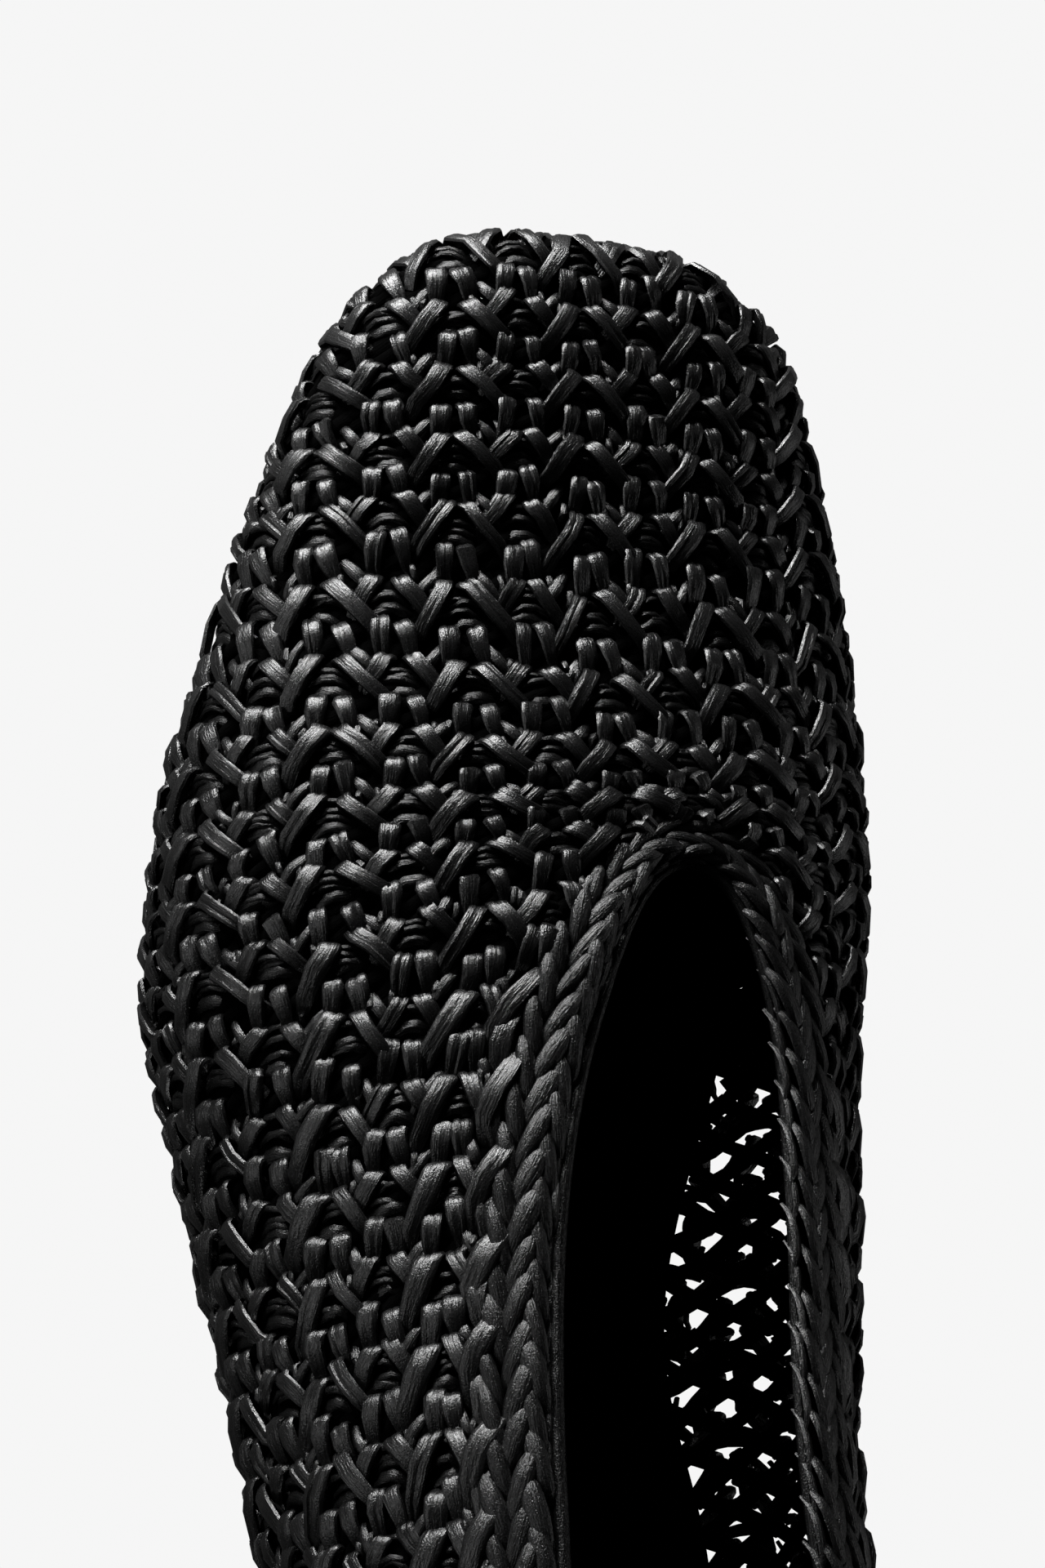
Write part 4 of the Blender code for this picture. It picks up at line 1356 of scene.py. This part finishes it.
def plate_piece(name, inset, waist_cut, lift, thickness, material):
    """A plate: at each x a flat section, its edges half round, spans from the outer to the inner edge."""
    outer, inner = plate_edges(inset, waist_cut)
    start, end = outer[0, 0] + PLATE_END, outer[-1, 0] - PLATE_END
    x = (start + end) / 2 - (end - start) / 2 * np.cos(np.linspace(0, np.pi, PLATE_RINGS))
    low, high = np.interp(x, *inner.T)[:, None], np.interp(x, *outer.T)[:, None]
    flat = np.linspace(-FLAT_REACH, FLAT_REACH, FLAT_POINTS)
    turn = np.linspace(-np.pi / 2, np.pi / 2, EDGE_POINTS)
    edge_up = (1 + np.sign(turn) * np.abs(np.sin(turn)) ** EDGE_SQUARE) / 2
    level, side = np.zeros(FLAT_POINTS), np.ones(EDGE_POINTS)
    across = np.concatenate([-flat, -side, flat, side])
    proud = np.concatenate([level, -np.cos(turn), level, np.cos(turn)])
    up = np.concatenate([level, edge_up, level + 1, edge_up[::-1]])
    across, proud, up = (np.roll(values, EDGE_POINTS // 2) for values in (across, proud, up))
    edge = np.minimum(PLATE_EDGE, (high - low) / 4)
    y = (low + high) / 2 + across * ((high - low) / 2 - edge) + proud * edge
    z = tread(x)[:, None] + lift + thickness * up
    vertices = np.stack(np.broadcast_arrays(x[:, None], y, z), -1) + home
    faces = band_faces(1, PLATE_RINGS, len(across))
    grid = np.stack([vertices[..., 0] + vertices[..., 1], z + across * PLATE_MAP], -1).reshape(-1, 2)
    tone = np.full(len(grid), PLAIN_TONE)
    return piece_from_arrays(name, vertices.reshape(-1, 3), faces, grid, tone, material)


sole_leather = leather("sole_leather", (0.002, 0.002, 0.002), (0.005, 0.005, 0.005), 0.35, 0.4)
# The insole is black leather, painted darker still than the others as shade, so the inside of the mouth stays
# black.
insole_black_painted_shade = leather("insole_black_painted_shade", (0.0006, 0.0006, 0.0006), (0.002, 0.002, 0.002), 0.5, 0.05)
sole = plate_piece("sole", SOLE_INSET, SOLE_WAIST_CUT, 0.0, SOLE_THICKNESS, sole_leather)
insole_lift = FEATHER_HEIGHT - UPPER_WALL
insole_board = plate_piece(
    "insole_board", INSOLE_INSET, WAIST_CUT, insole_lift, INSOLE_THICKNESS, insole_black_painted_shade
)

# %% [markdown]
# ## Heel
# The frame of the picture cuts the heel off, so it is a plain covered block: half round at the back, flat
# at the breast, narrower at the floor. It could be a bevelled box, but the seat slopes with the sole. So
# we stack outlines from the floor up to the seat. Below it sits a thin rubber tip with a softened lower
# edge.

# %% Outlines of heel and tip
# Share of the height from the seat, back, breast and half width
HEEL_LEVELS = np.array(
    [
        (0.00, 0.0050, 0.0500, 0.0250),
        (0.30, 0.0062, 0.0478, 0.0222),
        (0.65, 0.0076, 0.0450, 0.0197),
        (1.00, 0.0090, 0.0425, 0.0185),
    ]
)
HEEL_ROUND, HEEL_CORNER, HEEL_STEPS = 0.62, 0.0025, 15
REAR_STEPS, CORNER_STEPS, BREAST_POINT = 16, 8, 0.3
TIP_THICKNESS, TIP_INSET, TIP_EDGE, SEAM = 0.005, 0.0004, 0.0006, 0.0003


def heel_outline(back, breast, half):
    """Half an ellipse at the back, straight sides and quarter-round corners; the inner half is a mirror."""
    depth = HEEL_ROUND * (breast - back)
    turn = (np.arange(REAR_STEPS) + 0.5) / REAR_STEPS * np.pi / 2
    rear = np.stack([back + depth - depth * np.cos(turn), half * np.sin(turn)], -1)
    bend = np.linspace(np.pi / 2, 0, CORNER_STEPS)
    corner = HEEL_CORNER * (np.stack([np.cos(bend), np.sin(bend)], -1) - 1) + (breast, half)
    outer = np.concatenate([rear, corner, [(breast, half * BREAST_POINT)]])
    return np.concatenate([outer, outer[::-1] * (1, -1)])


def heel_ring(share):
    """The heel's outline at a share of the way from the seat to the tip.

    Sizes follow the table of levels; heights run straight from the sloping seat to the tip's top.
    """
    back, breast, half = (smooth_table(share, HEEL_LEVELS[:, 0], HEEL_LEVELS[:, k]) for k in (1, 2, 3))
    plan = heel_outline(back, breast, half)
    seat = tread(plan[:, 0]) - SEAM
    return np.column_stack([plan, seat + share * (TIP_THICKNESS + SEAM - seat)])


def tip_ring(height, inset):
    """The tip's outline at a height: the heel's lowest level, moved in all round."""
    back, breast, half = HEEL_LEVELS[-1, 1:]
    plan = heel_outline(back + inset, breast - inset, half - inset)
    return np.column_stack([plan, np.full(len(plan), height)])


print("points in a heel outline:", len(heel_outline(*HEEL_LEVELS[0, 1:])))

# %% Heel and tip
def stacked_piece(name, rings, material):
    """Closed rings of equal count, joined from the lowest to the highest and capped at both ends."""
    vertices = np.array(rings) + home
    steps = np.linalg.norm(np.diff(vertices, axis=1, append=vertices[:, :1]), axis=2)
    around = np.cumsum(steps, 1)
    around = np.minimum(around, around[:, -1:] - around)
    grid = np.stack([vertices[..., 2], around], -1).reshape(-1, 2)
    faces = band_faces(1, *vertices.shape[:2])
    tone = np.full(len(grid), PLAIN_TONE)
    return piece_from_arrays(name, vertices.reshape(-1, 3), faces, grid, tone, material)


heel_leather = leather("heel_leather", (0.002, 0.002, 0.002), (0.006, 0.006, 0.0061), 0.5, 0.4)
tip_rubber = leather("tip_rubber", (0.001, 0.001, 0.001), (0.004, 0.004, 0.004), 0.9, 0.15)
heel_rings = [heel_ring(share) for share in np.linspace(1, 0, HEEL_STEPS)]
heel_block = stacked_piece("heel_block", heel_rings, heel_leather)
tip_rings = ((0.0, TIP_INSET + TIP_EDGE), (TIP_EDGE, TIP_INSET), (TIP_THICKNESS, TIP_INSET))
tip = stacked_piece("tip_pad", [tip_ring(*ring) for ring in tip_rings], tip_rubber)
for piece, node in ((sole, "outsole"), (insole_board, "insole"), (heel_block, "heel"), (tip, "heel_tip")):
    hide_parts(node)

# %% [markdown]
# ## Floor
# The shoe stands on a plain white floor with no edge in sight and almost no shadow. A lit white plane
# would do, but it throws much light up into the black leather. So the camera sees an even white glow,
# while to the shoe the floor is a dull grey.

# %% Floor
FLOOR_HALF, FLOOR_GREY, FLOOR_ROUGH = 6, 0.12, 0.9
STUDIO_WHITE = 0.92
floor_corners = [(FLOOR_HALF * x, FLOOR_HALF * y, 0) for x, y in ((-1, -1), (1, -1), (1, 1), (-1, 1))]
floor_mesh = bpy.data.meshes.new("floor")
floor_mesh.from_pydata(floor_corners, [], [(0, 1, 2, 3)])
floor = bpy.data.objects.new("floor", floor_mesh)
bpy.context.scene.collection.objects.link(floor)
white = bpy.data.materials.new("floor_white")
white.use_nodes = True
tree = white.node_tree
white_shader = tree.nodes["Principled BSDF"]
white_shader.inputs["Base Color"].default_value = (FLOOR_GREY, FLOOR_GREY, FLOOR_GREY, 1)
white_shader.inputs["Roughness"].default_value = FLOOR_ROUGH
glow = put(tree, "ShaderNodeEmission", [("Strength", STUDIO_WHITE)])
seen = put(tree, "ShaderNodeLightPath")
mixed = put(
    tree, "ShaderNodeMixShader",
    [(0, seen.outputs["Is Camera Ray"]), (1, white_shader.outputs[0]), (2, glow.outputs[0])],
)
tree.links.new(mixed.outputs[0], tree.nodes["Material Output"].inputs["Surface"])
floor_mesh.materials.append(white)
print("floor", 2 * FLOOR_HALF, "m wide")

# %% [markdown]
# ## Lights
# A low, narrow light in front of the toe draws the highlights along the strips. Weak ones on the outer
# side, on the inner side and behind keep the shoe readable all round. A picture of a sky could light it
# too, but black leather shows little else than reflections, and oblong soft lights put them where they
# belong.

# %% Lights
STUDIO_DIM = 0.01
# Name, place, target, width, height and power
LIGHTS = (
    ("toe_light", (0.36, 0.12, 0.065), (0.08, 0, 0.03), 0.25, 0.06, 3.1),
    ("outer_light", (0.10, 0.90, 0.25), (0.04, 0, 0.03), 0.6, 0.3, 1.6),
    ("inner_light", (0.02, -0.95, 0.13), (0.0, 0, 0.03), 0.7, 0.2, 0.85),
    ("back_light", (-0.95, 0.10, 0.16), (0.0, 0, 0.04), 0.6, 0.2, 3.0),
)


def area_light(name, place, target, width, height, power):
    """A soft oblong light at a place, turned towards a target."""
    lamp = bpy.data.lights.new(name, "AREA")
    lamp.shape = "RECTANGLE"
    lamp.energy, lamp.size, lamp.size_y = power, width, height
    light = bpy.data.objects.new(name, lamp)
    bpy.context.scene.collection.objects.link(light)
    light.location = place
    light.rotation_mode = "QUATERNION"
    light.rotation_quaternion = (Vector(place) - Vector(target)).to_track_quat("Z", "Y")
    light.visible_camera = False


for lamp in LIGHTS:
    area_light(*lamp)
world = bpy.data.worlds.new("studio")
world.use_nodes = True
background = world.node_tree.nodes["Background"]
background.inputs["Color"].default_value = (1, 1, 1, 1)
to_camera = put(world.node_tree, "ShaderNodeLightPath")
strength = put(
    world.node_tree, "ShaderNodeMapRange",
    [("Value", to_camera.outputs["Is Camera Ray"]), ("To Min", STUDIO_DIM), ("To Max", STUDIO_WHITE)],
)
world.node_tree.links.new(strength.outputs[0], background.inputs["Strength"])
bpy.context.scene.world = world
bpy.context.scene.view_settings.view_transform = "Standard"
print(len(LIGHTS), "lights")

# %% [markdown]
# ## Camera
# The picture looks down on the shoe from above its outer side, with the toe up, through a long lens. The
# lean, the roll and the distance were fitted to the outline of the shoe and of its mouth. A camera could
# be aimed at a target instead; three turns that are written out show which angle does what.

# %% Camera
CAMERA_LEAN = np.radians(19.68)
CAMERA_BACK = np.radians(-5.43)
CAMERA_ROLL = np.radians(4.22)
CAMERA_DISTANCE = 0.399
CAMERA_TARGET = np.array([0.165, 0.0, 0.030])
CAMERA_SLIDE = (0.005126, -0.014627)
FOCAL_PIXELS, FRAME_PIXELS, SENSOR, NEAREST = 4169.3, 1920, 36.0, 0.01


def camera_axes():
    """Right, up and back directions: the plan view leaned sideways, then back, then rolled."""
    sa, ca = np.sin(CAMERA_LEAN), np.cos(CAMERA_LEAN)
    sb, cb = np.sin(CAMERA_BACK), np.cos(CAMERA_BACK)
    sr, cr = np.sin(CAMERA_ROLL), np.cos(CAMERA_ROLL)
    lean = np.array([(1, 0, 0), (0, ca, sa), (0, -sa, ca)])
    back = np.array([(cb, 0, sb), (0, 1, 0), (-sb, 0, cb)])
    plan = np.array([(0, -1, 0), (1, 0, 0), (0, 0, 1)])
    right, up, away = plan @ (back @ lean).T
    return cr * right + sr * up, cr * up - sr * right, away


right, up, away = camera_axes()
eye = CAMERA_TARGET + away * CAMERA_DISTANCE - right * CAMERA_SLIDE[0] - up * CAMERA_SLIDE[1] + home
lens = bpy.data.cameras.new("camera")
lens.sensor_width = SENSOR
lens.lens = FOCAL_PIXELS / FRAME_PIXELS * SENSOR
lens.clip_start = NEAREST
camera = bpy.data.objects.new("camera", lens)
bpy.context.scene.collection.objects.link(camera)
camera.matrix_world = Matrix(np.vstack([np.column_stack([right, up, away, eye]), (0, 0, 0, 1)]).tolist())
bpy.context.scene.camera = camera
print("camera at", eye.round(3))
